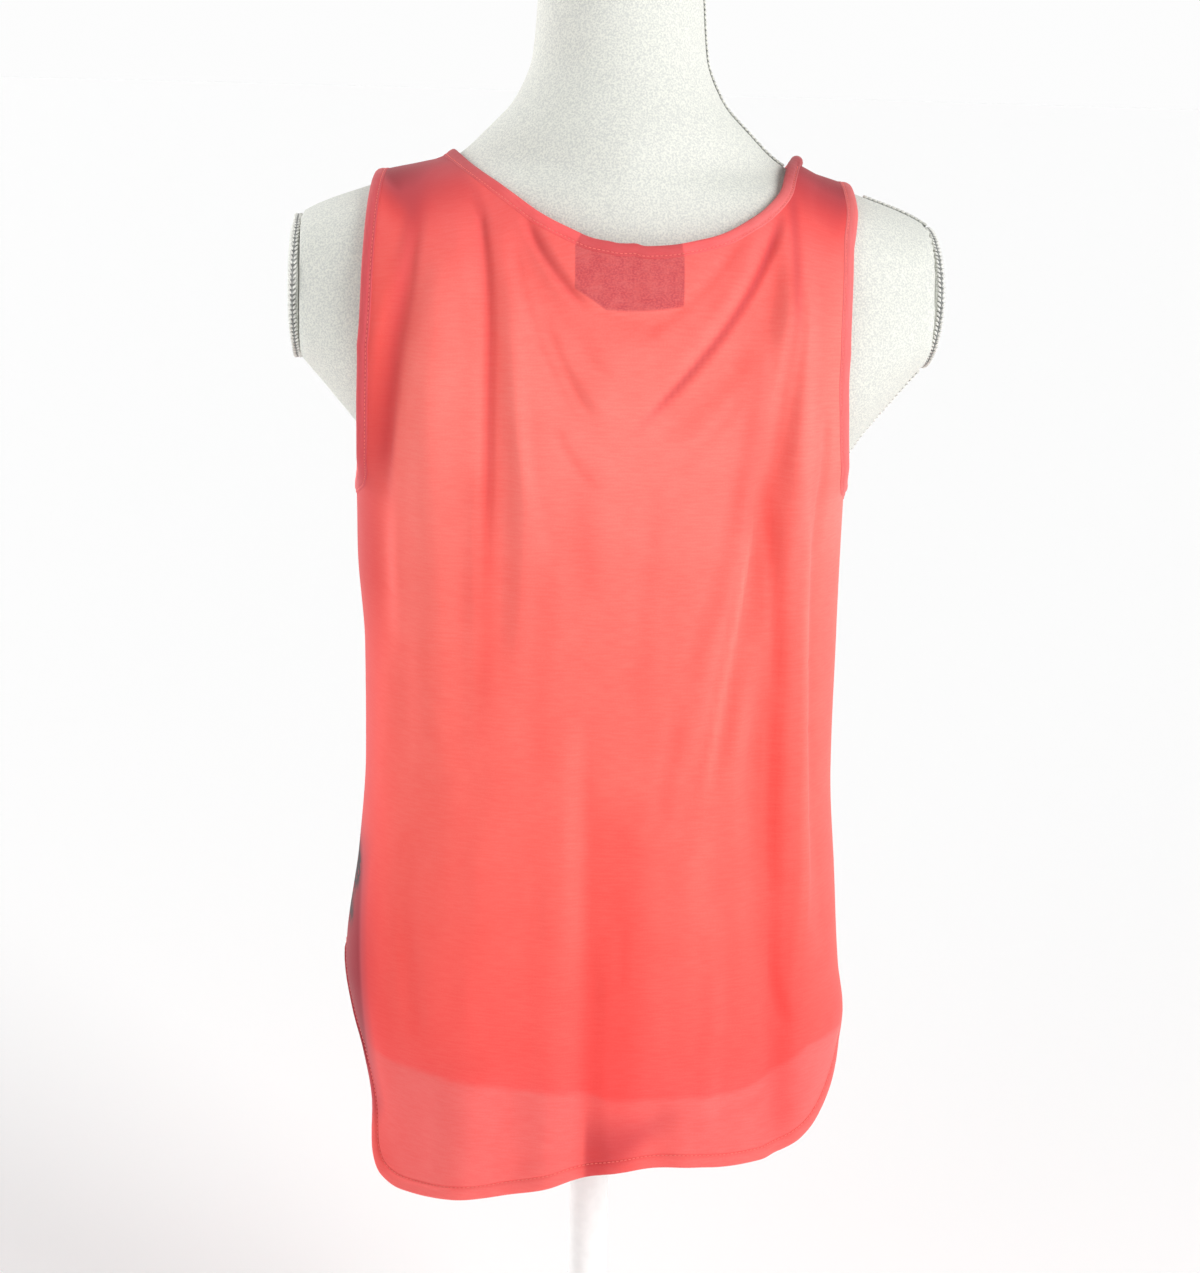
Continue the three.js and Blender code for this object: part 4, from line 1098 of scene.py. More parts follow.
    def label_foot(self, sketch: NodeSketch, uv: Any) -> Any:
        """Returns how far above the label's lower edge a place is, in metres, its corner cut off."""
        flat = sketch.add("ShaderNodeSeparateXYZ", {0: uv})
        sag = sketch.times(sketch.math("POWER", sketch.math("ABSOLUTE", flat.outputs[0]), 2.0), 3.0)
        corner = sketch.times(sketch.minus(flat.outputs[0], 0.013), 0.55)
        foot = sketch.math("MAXIMUM", sketch.plus(sag, LABEL_FOOT), sketch.plus(corner, LABEL_FOOT))
        return sketch.minus(flat.outputs[1], foot)

    def leaf_print(self, sketch: NodeSketch, uv: Any, colour: Any) -> Any:
        """Returns the colour with scattered small dark leaves and pale flecks."""
        for scale, length, width, tone, shift_by in LEAVES:
            moved = sketch.vector("ADD", uv, (shift_by, shift_by, 0.0)).outputs[0]
            cells = sketch.add("ShaderNodeTexVoronoi", {"Vector": moved, "Scale": scale, "Randomness": 0.85},
                               voronoi_dimensions="2D")
            away = sketch.vector("SUBTRACT", moved, cells.outputs["Position"]).outputs[0]
            draw = sketch.add("ShaderNodeSeparateXYZ", {0: cells.outputs["Color"]})
            turn = sketch.times(draw.outputs[0], 2 * math.pi)
            turned = sketch.add("ShaderNodeVectorRotate", {"Vector": away, "Angle": turn},
                                rotation_type="Z_AXIS")
            local = sketch.add("ShaderNodeSeparateXYZ", {0: turned.outputs[0]})
            along = sketch.math("DIVIDE", local.outputs[0], length)
            beside = sketch.math("DIVIDE", sketch.math("ABSOLUTE", local.outputs[1]), width)
            leaf = sketch.minus(sketch.minus(1.0, sketch.math("POWER", sketch.math(
                "ABSOLUTE", along), 1.6)), beside)
            mask = sketch.between(leaf, 0.0, 0.12)
            kept = sketch.math("GREATER_THAN", draw.outputs[1], 0.18)
            colour = sketch.blend(sketch.times(mask, kept), colour, srgb(*tone))
        return colour


@dataclass(frozen=True)
class BindingFinish(JerseyFinish):
    """Folded jersey strip, denser in colour, with the label's end dark behind it, painted shade and light at
    the back's sides and a painted shadow at the top.
    """

    shade: tuple[float, float, float] = (243, 102, 102)
    label_behind: bool = False

    def paint(self, sketch: NodeSketch) -> tuple[Any, Any]:
        """Returns the strip's colour and relief."""
        uv = sketch.add("ShaderNodeUVMap", uv_map=CLOTH_UV).outputs[0]
        flat = sketch.add("ShaderNodeSeparateXYZ", {0: uv})
        height, grain, mottle = self.knit(sketch, uv)
        colour = sketch.blend(sketch.between(mottle, 0.3, 0.7), srgb(*self.shade),
                              srgb(*(min(part * 1.06, 255) for part in self.shade)))
        if self.label_behind:
            middle = sketch.between(sketch.math("ABSOLUTE", flat.outputs[0]), 0.0335, 0.0315)
            colour = sketch.blend(sketch.times(middle, 0.85), colour, srgb(208, 84, 88))
        whole = sketch.add("ShaderNodeTexCoord").outputs["Object"]
        place = sketch.add("ShaderNodeSeparateXYZ", {0: whole})
        # At the back: painted shade on the wearer's left, painted light on the right, then a painted shadow
        # near and above the shoulder point.
        behind = sketch.between(place.outputs[1], -0.03, 0.03)
        left = sketch.times(behind, sketch.between(place.outputs[0], 0.118, 0.135))
        right = sketch.times(behind, sketch.between(place.outputs[0], -0.04, -0.09))
        colour = sketch.blend(left, colour, srgb(213, 87, 93))
        colour = sketch.blend(right, colour, srgb(236, 118, 117))
        shadow = sketch.between(
            place.outputs[2], (SHOULDER_HEIGHT - 26) * MM, (SHOULDER_HEIGHT + 4) * MM, 0.0, 0.85)
        colour = sketch.blend(shadow, colour, srgb(164, 62, 70))
        colour = sketch.blend(sketch.between(grain, 0.36, 0.64, 0.0, 0.7), colour, BINDING_TINT, "MULTIPLY")
        return colour, height


@dataclass(frozen=True)
class WovenFinish(Finish):
    """A plain weave with a fine speckle, for the form's cover, its plates and the label."""

    light: tuple[float, float, float] = (235, 236, 227)
    dark: tuple[float, float, float] = (210, 212, 207)
    thread: float = 0.0011

    def paint(self, sketch: NodeSketch) -> tuple[Any, Any]:
        """Returns the weave's colour and relief."""
        where = sketch.add("ShaderNodeTexCoord").outputs["Object"]
        part = sketch.add("ShaderNodeSeparateXYZ", {0: where})
        along = sketch.plus(part.outputs[0], part.outputs[1])
        pitch = 2 * math.pi / self.thread
        warp = sketch.math("SINE", sketch.times(along, pitch))
        weft = sketch.math("SINE", sketch.times(part.outputs[2], pitch))
        weave = sketch.times(warp, weft)
        speckle = sketch.noise(where, 900.0, 3.0)
        cloud = sketch.noise(where, 16.0, 3.0)
        colour = sketch.blend(sketch.between(speckle, 0.36, 0.64), srgb(*self.dark), srgb(*self.light))
        colour = sketch.blend(sketch.between(cloud, 0.35, 0.7, 0.0, 0.35), colour, CLOUD_TINT, "MULTIPLY")
        height = sketch.plus(sketch.times(weave, 0.00005), sketch.times(speckle, 0.00025))
        return colour, height


@dataclass(frozen=True)
class PlainFinish(Finish):
    """Thread or paint of one colour with a fine grain."""

    shade: tuple[float, float, float] = (240, 240, 238)
    depth: float = 0.08
    grain: float = 300.0
    rough_by: float = 0.0001

    def paint(self, sketch: NodeSketch) -> tuple[Any, Any]:
        """Returns the colour and relief."""
        where = sketch.add("ShaderNodeTexCoord").outputs["Object"]
        grain = sketch.noise(where, self.grain, 3.0)
        darker = tuple(part * (1 - self.depth) for part in self.shade)
        colour = sketch.blend(sketch.between(grain, 0.3, 0.7), srgb(*darker), srgb(*self.shade))
        return colour, sketch.times(grain, self.rough_by)


@dataclass(frozen=True)
class BeadRow:
    """A row of small rounded beads along a line: stitches, or one strand of a braid."""

    pitch: float
    length: float
    width: float
    lean: float = 0.0
    beside: float = 0.0

    def tree(self) -> bpy.types.NodeTree:
        """Returns the node tree that lays the beads, made once and used by every row."""
        found = bpy.data.node_groups.get("bead_row")
        if found:
            return found
        tree = bpy.data.node_groups.new("bead_row", "GeometryNodeTree")
        tree.interface.new_socket("Geometry", in_out="INPUT", socket_type="NodeSocketGeometry")
        for name in ("Pitch", "Bead Length", "Bead Width", "Lean", "Beside"):
            tree.interface.new_socket(name, in_out="INPUT", socket_type="NodeSocketFloat")
        tree.interface.new_socket("Material", in_out="INPUT", socket_type="NodeSocketMaterial")
        tree.interface.new_socket("Geometry", in_out="OUTPUT", socket_type="NodeSocketGeometry")
        sketch = NodeSketch(tree)
        given = sketch.add("NodeGroupInput").outputs
        curve = sketch.add("GeometryNodeMeshToCurve", {0: given["Geometry"]}).outputs[0]
        even = sketch.add("GeometryNodeResampleCurve", {"Curve": curve, "Length": given["Pitch"]},
                          mode="LENGTH")
        dots = sketch.add("GeometryNodeCurveToPoints", {"Curve": even.outputs[0]}, mode="EVALUATED")
        lift = sketch.add("GeometryNodeInputNamedAttribute", {"Name": LIFT},
                          data_type="FLOAT_VECTOR").outputs[0]
        tangent = dots.outputs["Tangent"]
        across = sketch.vector("NORMALIZE",
                               sketch.vector("CROSS_PRODUCT", tangent, lift).outputs[0]).outputs[0]
        leaning = sketch.add("ShaderNodeVectorMath", {0: across, "Scale": given["Lean"]}, operation="SCALE")
        aim = sketch.vector("ADD", tangent, leaning.outputs[0]).outputs[0]
        turned = sketch.add("FunctionNodeAxesToRotation", {0: aim, 1: lift}, primary_axis="Z",
                            secondary_axis="X")
        aside = sketch.add("ShaderNodeVectorMath", {0: across, "Scale": given["Beside"]}, operation="SCALE")
        placed = sketch.add("GeometryNodeSetPosition",
                            {"Geometry": dots.outputs["Points"], "Offset": aside.outputs[0]})
        ball = sketch.add("GeometryNodeMeshUVSphere", {"Segments": 6, "Rings": 5, "Radius": 0.5})
        size = sketch.add("ShaderNodeCombineXYZ", {
            0: given["Bead Width"], 1: given["Bead Width"], 2: given["Bead Length"]})
        bead = sketch.add("GeometryNodeTransform", {"Geometry": ball.outputs[0], "Scale": size.outputs[0]})
        row = sketch.add("GeometryNodeInstanceOnPoints", {
            "Points": placed.outputs[0], "Instance": bead.outputs[0], "Rotation": turned.outputs[0]})
        real = sketch.add("GeometryNodeRealizeInstances", {0: row.outputs[0]})
        soft = sketch.add("GeometryNodeSetShadeSmooth", {0: real.outputs[0]})
        dressed = sketch.add("GeometryNodeSetMaterial",
                             {"Geometry": soft.outputs[0], "Material": given["Material"]})
        sketch.add("NodeGroupOutput", {0: dressed.outputs[0]})
        return tree

    def lay(self, name: str, line: Array, lift: Array, closed: bool, material: bpy.types.Material,
            ) -> bpy.types.Object:
        """Lays the row along a line.

        Args:
            name: the piece's name.
            line: the line's points in millimetres.
            lift: the way off the surface at each point.
            closed: whether the line ends where it starts.
            material: the beads' material.

        Returns:
            The beads as one plain mesh.
        """
        count = len(line)
        edges = [(i, (i + 1) % count) for i in range(count if closed else count - 1)]
        mesh = bpy.data.meshes.new(name)
        mesh.from_pydata(to_metres(line).tolist(), edges, [])
        lifts = mesh.attributes.new(LIFT, "FLOAT_VECTOR", "POINT")
        lifts.data.foreach_set("vector", np.asarray(lift, np.float32).ravel())
        piece = bpy.data.objects.new(name, mesh)
        bpy.context.scene.collection.objects.link(piece)
        modifier = piece.modifiers.new("beads", "NODES")
        modifier.node_group = self.tree()
        values = {
            "Pitch": self.pitch * MM, "Bead Length": self.length * MM, "Bead Width": self.width * MM,
            "Lean": self.lean, "Beside": self.beside * MM, "Material": material,
        }
        for item in modifier.node_group.interface.items_tree:
            if item.in_out == "INPUT" and item.name in values:
                modifier[item.identifier] = values[item.name]
        bpy.context.view_layer.update()
        ready = bpy.context.evaluated_depsgraph_get()
        plain = bpy.data.meshes.new_from_object(piece.evaluated_get(ready), depsgraph=ready)
        piece.modifiers.remove(modifier)
        piece.data = plain
        return piece


def join_pieces(pieces: Sequence[bpy.types.Object]) -> bpy.types.Object:
    """Joins pieces into the first one and returns it."""
    points, faces, start = [], [], 0
    for piece in pieces:
        flat = np.zeros(len(piece.data.vertices) * 3)
        piece.data.vertices.foreach_get("co", flat)
        points.append(flat.reshape(-1, 3))
        faces += [[start + i for i in polygon.vertices] for polygon in piece.data.polygons]
        start += len(points[-1])
    mesh = bpy.data.meshes.new(pieces[0].name)
    mesh.from_pydata(np.vstack(points).tolist(), [], faces)
    mesh.polygons.foreach_set("use_smooth", [True] * len(mesh.polygons))
    mesh.materials.append(pieces[0].data.materials[0])
    mesh.update()
    pieces[0].data = mesh
    for piece in pieces[1:]:
        bpy.data.objects.remove(piece)
    return pieces[0]


def dress(piece: bpy.types.Object, finish: Finish, materials: dict[str, bpy.types.Material],
          replaces: Sequence[str] = ()) -> bpy.types.Object:
    """Gives a piece its finish and its place on the frame.

    Args:
        piece: the piece.
        finish: its finish.
        materials: materials made so far, by finish name.
        replaces: the solids that it stands for.

    Returns:
        The piece.
    """
    if finish.name not in materials:
        materials[finish.name] = finish.build()
    piece.data.materials.clear()
    piece.data.materials.append(materials[finish.name])
    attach(piece, BODY)
    if replaces:
        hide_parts(*replaces)
    log.info("%s: %d faces", piece.name, len(piece.data.polygons))
    return piece


JERSEY = JerseyFinish("coral_jersey", "jersey", roughness=0.78, sheen=0.12)
PRINTED_JERSEY = JerseyFinish("printed_jersey", "printed_jersey", roughness=0.78, sheen=0.12, printed=True,
                              see_through=False)
NECK_STRIP = BindingFinish("neck_strip", "binding", roughness=0.8, sheen=0.12, label_behind=True)
ARM_STRIP = BindingFinish("arm_strip", "binding", roughness=0.8, sheen=0.12)
THREAD = PlainFinish("coral_thread", "binding", shade=(255, 132, 124), grain=900.0, roughness=0.6)
LABEL_WEAVE = WovenFinish("label_weave", "label", light=(132, 60, 62), dark=(104, 44, 48), thread=0.0008)
FORM_COVER = WovenFinish("form_cover", "form_cover", roughness=0.85, sheen=0.05)
PLATE_COVER = WovenFinish("plate_cover", "plate_cover", light=(232, 233, 225), dark=(208, 210, 205))
BRAID = PlainFinish("white_braid", "form_cover", shade=(246, 246, 240), depth=0.14, grain=500.0,
                    roughness=0.7)
BRAID_GROUND = PlainFinish("braid_tape", "form_cover", shade=(158, 160, 158), depth=0.2, grain=500.0,
                           roughness=0.8)
STAND_PAINT = PlainFinish("stand_paint", "stand_metal", shade=(244, 244, 243), depth=0.02, grain=120.0,
                          roughness=0.35, specular=0.5, rough_by=0.00002)

STITCH = BeadRow(pitch=2.7, length=2.0, width=0.55)
BRAID_STRANDS = tuple(
    BeadRow(pitch=3.1, length=3.5, width=1.7, lean=0.7 * way, beside=1.35 * way) for way in (-1, 1)
)
BRAID_TAPE = BeadRow(pitch=1.6, length=3.0, width=3.2)


@dataclass
class ClothPanel:
    """The back or the front, cut from one piece, with its turned hem."""

    cloth: WornCloth
    name: str
    node: str
    finish: Finish
    flat: tuple[float, float]
    area: float
    tuck: float = 3.0
    neck_columns: int = 52
    strap_columns: int = 20
    yoke_rows: int = 78
    body_rows: int = 126
    groove: float = 0.9
    groove_width: float = 1.7
    seam_steps: tuple[float, ...] = (0.02, 0.012, 0.007, 0.0036, 0.0012, 0.0)

    def column_shares(self) -> Array:
        """Returns the columns as shares of the way from the middle to the side seam."""
        neck = np.linspace(0, NECK_PART, self.neck_columns, endpoint=False)
        strap = np.linspace(NECK_PART, 1 - self.seam_steps[0] * 1.6, self.strap_columns)
        return np.concatenate([neck, strap, 1 - np.array(self.seam_steps)])

    def row_shares(self) -> Array:
        """Returns the yoke's rows as shares of the way from the shoulder to the underarm."""
        even = np.linspace(0, 1, self.yoke_rows) ** YOKE_CROWDING
        close = np.array(self.seam_steps[1:-1])
        return np.unique(np.concatenate([even[even > 0.02], close, [0.0, 0.017]]))

    def even_angles(self, side: Side, level: float, shares: Array) -> Array:
        """Returns angles that divide the half girth at a level by the given shares."""
        fine = side.value * np.linspace(0, RIGHT_ANGLE, 181)
        points = self.cloth.smooth(fine, np.full(fine.shape, level))
        steps = np.linalg.norm(np.diff(points, axis=0), axis=1)
        lengths = np.concatenate([[0], np.cumsum(steps)])
        return np.interp(shares * lengths[-1], lengths, fine)

    def hem_places(self, angle: Array, into: Array) -> Places:
        """Steps up from the hem, square to it, but straight up along the side seams.

        Args:
            angle: angles of places on the hem's edge, in a row.
            into: distances from the edge.

        Returns:
            Angle and level, a row for each distance.
        """
        hem = curves_of(HEM[self.cloth.face], "angle")["z"]
        level = hem(np.degrees(angle))
        round_way, up_way, out = self.cloth.slopes(angle, level)
        near = 0.01
        rise = (hem(np.degrees(angle + near)) - hem(np.degrees(angle - near))) / (2 * near)
        along = round_way + up_way * rise[:, None]
        along /= np.linalg.norm(along, axis=-1, keepdims=True)
        square = np.cross(along, out)
        square *= np.sign(square[:, 2:])
        seam = smooth_step((RIGHT_ANGLE - np.abs(angle)) / 0.12)[:, None]
        upright = up_way / np.linalg.norm(up_way, axis=-1, keepdims=True)
        way = square * seam + upright * (1 - seam)
        moved = [shift(angle, level, round_way, up_way, way * distance) for distance in into]
        angles, levels = (np.stack(part) for part in zip(*moved))
        held = np.abs(angle) > RIGHT_ANGLE - 1e-6
        return np.where(held, angle, angles), levels

    def half_places(self, side: Side) -> Places:
        """Returns angle and level of half the panel, rows down and columns to the side seam."""
        cloth = self.cloth
        inset = BINDING_WIDTH - self.tuck
        inward = cloth.face.value * side.value
        shares = self.column_shares()
        neck, arm = neckline(cloth, side), armhole(cloth, side)
        on_neck = step_in(cloth, neck, np.minimum(shares / NECK_PART, 1), inward, inset)
        neck_corner = step_in(cloth, neck, np.array(1.0), inward, inset)
        arm_corner = step_in(cloth, arm, np.array(0.0), inward, inset)
        t = (shares - NECK_PART) / (1 - NECK_PART)
        on_strap = neck_corner[0] + (arm_corner[0] - neck_corner[0]) * t
        top_angle = np.where(t < 0, on_neck[0], on_strap)
        top_level = np.where(t < 0, on_neck[1], cloth.seam_level)
        bottom = float(step_in(cloth, arm, np.array(1.0), inward, inset)[1])
        foot = self.even_angles(side, bottom, shares)
        rows = self.row_shares()
        edge_angle, edge_level = step_in(cloth, arm, rows, inward, inset)
        edge_angle[0], edge_level[0] = arm_corner[0], cloth.seam_level
        edge_angle[-1], edge_level[-1] = foot[-1], bottom
        s = rows[:, None]
        pull = shares ** EDGE_PULL
        angle = top_angle * (1 - s) + foot * s
        level = top_level * (1 - s) + bottom * s
        angle = angle + pull * (edge_angle - angle[:, -1])[:, None]
        level = level + pull * (edge_level - level[:, -1])[:, None]
        hem_angle, hem_level = self.hem_places(foot, HEM_PROFILE["into"])
        down = np.linspace(0, 1, self.body_rows + 1)[1:-1, None]
        body_angle = foot + (hem_angle[0] - foot) * down ** 2
        body_level = bottom + (hem_level[0] - bottom) * down
        return (np.vstack([angle, body_angle, hem_angle]), np.vstack([level, body_level, hem_level]))

    def places(self) -> Places:
        """Returns angle and level of the whole panel, from right seam to left seam."""
        right, left = self.half_places(Side.RIGHT), self.half_places(Side.LEFT)
        return tuple(np.hstack([r[:, :0:-1], l]) for r, l in zip(right, left))

    def build(self, materials: dict[str, bpy.types.Material]) -> list[bpy.types.Object]:
        """Makes the panel and its hem stitches.

        Args:
            materials: materials made so far.

        Returns:
            The panel, then its stitches.
        """
        angle, level = self.places()
        place, out = self.cloth.point(angle, level)
        girth = self.cloth.girth_to(angle, level)
        to_side = np.abs(self.cloth.girth_to(np.sign(angle) * RIGHT_ANGLE, level)) - np.abs(girth)
        in_body = level < UNDERARM + 12
        side_dip = np.exp(-(to_side / self.groove_width) ** 2) * in_body
        top_dip = np.exp(-((self.cloth.seam_level - level) / self.groove_width) ** 2)
        dip = self.groove * np.maximum(side_dip, top_dip)
        skins = {}
        hem_rows = len(HEM_PROFILE["into"])
        for skin in ("outer", "inner"):
            proud = np.zeros(angle.shape)
            proud[-hem_rows:] = HEM_PROFILE[skin][:, None]
            skins[skin] = proud
        outer = place + out * (skins["outer"] - dip)[..., None]
        inner = place - out * (WALL + skins["inner"] + dip * 0.3)[..., None]
        uv = np.stack([girth, level], -1) * MM
        panel = dress(shell_piece(self.name, outer, inner, uv), self.finish, materials, [self.node])
        # Painted light and shade, and painted shadow, stored for the material.
        add_values(panel, LIGHT_AND_SHADE_ATTRIBUTE, self.cloth.tone(angle, level))
        add_values(panel, SHADOW, self.cloth.shadow(angle, level))
        reach = WRAP_REACH_BACK if self.cloth.face is Face.BACK else WRAP_REACH_FRONT
        wrapped = sum(
            smooth_step(3 * (1 - (to_side / reach) ** 2 - ((place[..., 2] - middle) / tall) ** 2))
            for middle, tall in WRAP_OVALS
        )
        add_values(panel, WRAP, np.clip(wrapped, 0, 1) * (angle > 0))
        seam_row = int(np.argmin(np.abs(HEM_PROFILE["into"] - HEM_STITCH_INSET))) - hem_rows
        line = place[seam_row] + out[seam_row] * 0.1
        thread = materials.setdefault(THREAD.name, THREAD.build())
        stitches = STITCH.lay(f"{self.name}_hem_stitches", line, out[seam_row], False, thread)
        dress(stitches, THREAD, materials)
        return [panel, stitches]


@dataclass
class EdgeBindings:
    """The folded strips round the neck and armholes, with their stitch lines."""

    back: WornCloth
    front: WornCloth
    steps: int = 90
    pucker: float = 0.10
    pucker_length: float = 5.4
    roll_radius: float = 3.9
    roll_centre: tuple[float, float] = (3.9, 1.9)

    def rolled(self, weight: Array) -> Places:
        """Returns the strip's section, morphed into a standing round roll by weight."""
        flat_into, flat_out = BINDING_SECTION["into"], BINDING_SECTION["out"]
        turn = np.linspace(0, 2 * math.pi, len(flat_into), endpoint=False) + 0.35
        round_into = self.roll_centre[0] + self.roll_radius * np.cos(turn)
        round_out = self.roll_centre[1] + self.roll_radius * np.sin(turn)
        w = weight[:, None]
        return flat_into * (1 - w) + round_into * w, flat_out * (1 - w) + round_out * w

    def stretch(self, cloth: WornCloth, edge: Edge, inward: int, shares: Array, weight: Array,
                ) -> tuple[Array, Array, Array]:
        """Sweeps the section along part of an edge.

        Args:
            cloth: the half of the top.
            edge: the edge's line.
            inward: which way the cloth lies.
            shares: places along the edge.
            weight: how far the strip is rolled up there.

        Returns:
            The sections, the stitch line and the way off the cloth along it.
        """
        into, out_by = self.rolled(weight)
        angle, level = step_in(cloth, edge, np.repeat(shares[:, None], into.shape[1], 1), inward, into)
        place, out = cloth.point(angle, level)
        along = shares[:, None] * 2 * math.pi * 150 / self.pucker_length
        wave = self.pucker * np.sin(along) * (into > 1) * (into < 7)
        sections = place + out * (out_by + wave)[..., None]
        line_into = np.full(shares.shape, STITCH_INTO)
        line_angle, line_level = step_in(cloth, edge, shares, inward, line_into)
        line, lift = cloth.point(line_angle, line_level)
        return sections, line + lift * STITCH_OUT, lift

    def ring(self, name: str, node: str, parts: list[tuple[Array, Array, Array]], start: int, finish: Finish,
             materials: dict[str, bpy.types.Material]) -> list[bpy.types.Object]:
        """Joins swept parts into one closed strip with its stitches.

        Args:
            name: the strip's name.
            node: the solid that it stands for.
            parts: the swept parts in order.
            start: the section from which its length is measured.
            finish: its finish.
            materials: materials made so far.

        Returns:
            The strip, then its stitches.
        """
        sections, line, lift = (np.concatenate(group) for group in zip(*parts))
        sections, line, lift = (np.roll(group, -start, 0) for group in (sections, line, lift))
        steps = np.linalg.norm(np.diff(line, axis=0, append=line[:1]), axis=-1)
        length = np.concatenate([[0], np.cumsum(steps)[:-1]])
        whole = steps.sum()
        signed = np.where(length > whole / 2, length - whole, length)
        across = np.broadcast_to(BINDING_SECTION["into"], sections.shape[:2])
        uv = np.stack([np.broadcast_to(signed[:, None], across.shape), across], -1) * MM
        strip = dress(ring_piece(name, sections, uv), finish, materials, [node])
        thread = materials.setdefault(THREAD.name, THREAD.build())
        stitches = dress(STITCH.lay(f"{name}_stitches", line, lift, True, thread), THREAD, materials)
        return [strip, stitches]

    def neck(self, materials: dict[str, bpy.types.Material]) -> list[bpy.types.Object]:
        """Makes the neck strip, which stands up in a roll at the right shoulder."""
        out_way = np.linspace(0, 1, self.steps, endpoint=False)
        home_way = 1 - out_way
        parts = []
        for cloth, side, shares in (
            (self.back, Side.RIGHT, home_way), (self.back, Side.LEFT, out_way),
            (self.front, Side.LEFT, home_way), (self.front, Side.RIGHT, out_way),
        ):
            weight = np.zeros(shares.shape)
            if side is Side.RIGHT:
                begin = 0.80 if cloth.face is Face.BACK else 0.86
                weight = smooth_step((shares - begin) / (1 - begin))
            inward = cloth.face.value * side.value
            parts.append(self.stretch(cloth, neckline(cloth, side), inward, shares, weight))
        return self.ring("neck_edge", "neck_binding", parts, self.steps, NECK_STRIP, materials)

    def armhole(self, side: Side, materials: dict[str, bpy.types.Material]) -> list[bpy.types.Object]:
        """Makes one armhole's strip."""
        out_way = np.linspace(0, 1, self.steps, endpoint=False)
        parts = [
            self.stretch(cloth, armhole(cloth, side), cloth.face.value * side.value, shares, 0 * shares)
            for cloth, shares in ((self.back, out_way), (self.front, 1 - out_way))
        ]
        name = side.name.lower()
        return self.ring(f"armhole_edge_{name}", f"armhole_binding_{name}", parts, 0, ARM_STRIP, materials)


@dataclass
class NeckTag:
    """The blank label behind the back neckline, sewn along its edges."""

    cloth: WornCloth
    width: float = 64.0
    height: float = 23.0
    below: float = 10.5
    sag: float = 3.6
    thick: float = 0.9
    behind: float = 0.7
    rows: int = 24
    columns: int = 48
    stitch_inset: float = 1.8

    def places(self, side: Array, down: Array) -> Places:
        """Returns angle and level at shares of the half width and height."""
        level = BACK_NECKLINE[Side.LEFT]["level"][0] - self.below + self.sag * side ** 2 - self.height * down
        x = np.where(side == 0, 1e-6, side * self.width / 2)
        return self.cloth.angle_at_side(x, level), level

    def build(self, materials: dict[str, bpy.types.Material]) -> list[bpy.types.Object]:
        """Makes the label and the stitches on its inner face.

        Args:
            materials: materials made so far.

        Returns:
            The label, then its stitches.
        """
        side = np.linspace(-1, 1, self.columns)[None, :] + np.zeros((self.rows, 1))
        down = np.linspace(0, 1, self.rows)[:, None] + np.zeros((1, self.columns))
        angle, level = self.places(side, down)
        place, out = self.cloth.point(angle, level)
        depth = WALL + self.behind
        uv = np.stack([side * self.width / 2, level], -1) * MM
        shell = shell_piece("neck_tag", place - out * depth, place - out * (depth + self.thick), uv)
        tag = dress(shell, LABEL_WEAVE, materials, ["neck_label"])
        across, tall = 1 - 2 * self.stitch_inset / self.width, self.stitch_inset / self.height
        corners = [(-across, tall), (across, tall), (across, 1 - tall), (-across, 1 - tall), (-across, tall)]
        run = np.vstack([
            np.linspace(a, b, 30, endpoint=False) for a, b in zip(corners, corners[1:])])
        angle, level = self.places(run[:, 0], run[:, 1])
        place, out = self.cloth.point(angle, level)
        thread = materials.setdefault(THREAD.name, THREAD.build())
        line = place - out * (depth + self.thick)
        stitches = dress(STITCH.lay("neck_tag_stitches", line, -out, True, thread), THREAD, materials)
        return [tag, stitches]


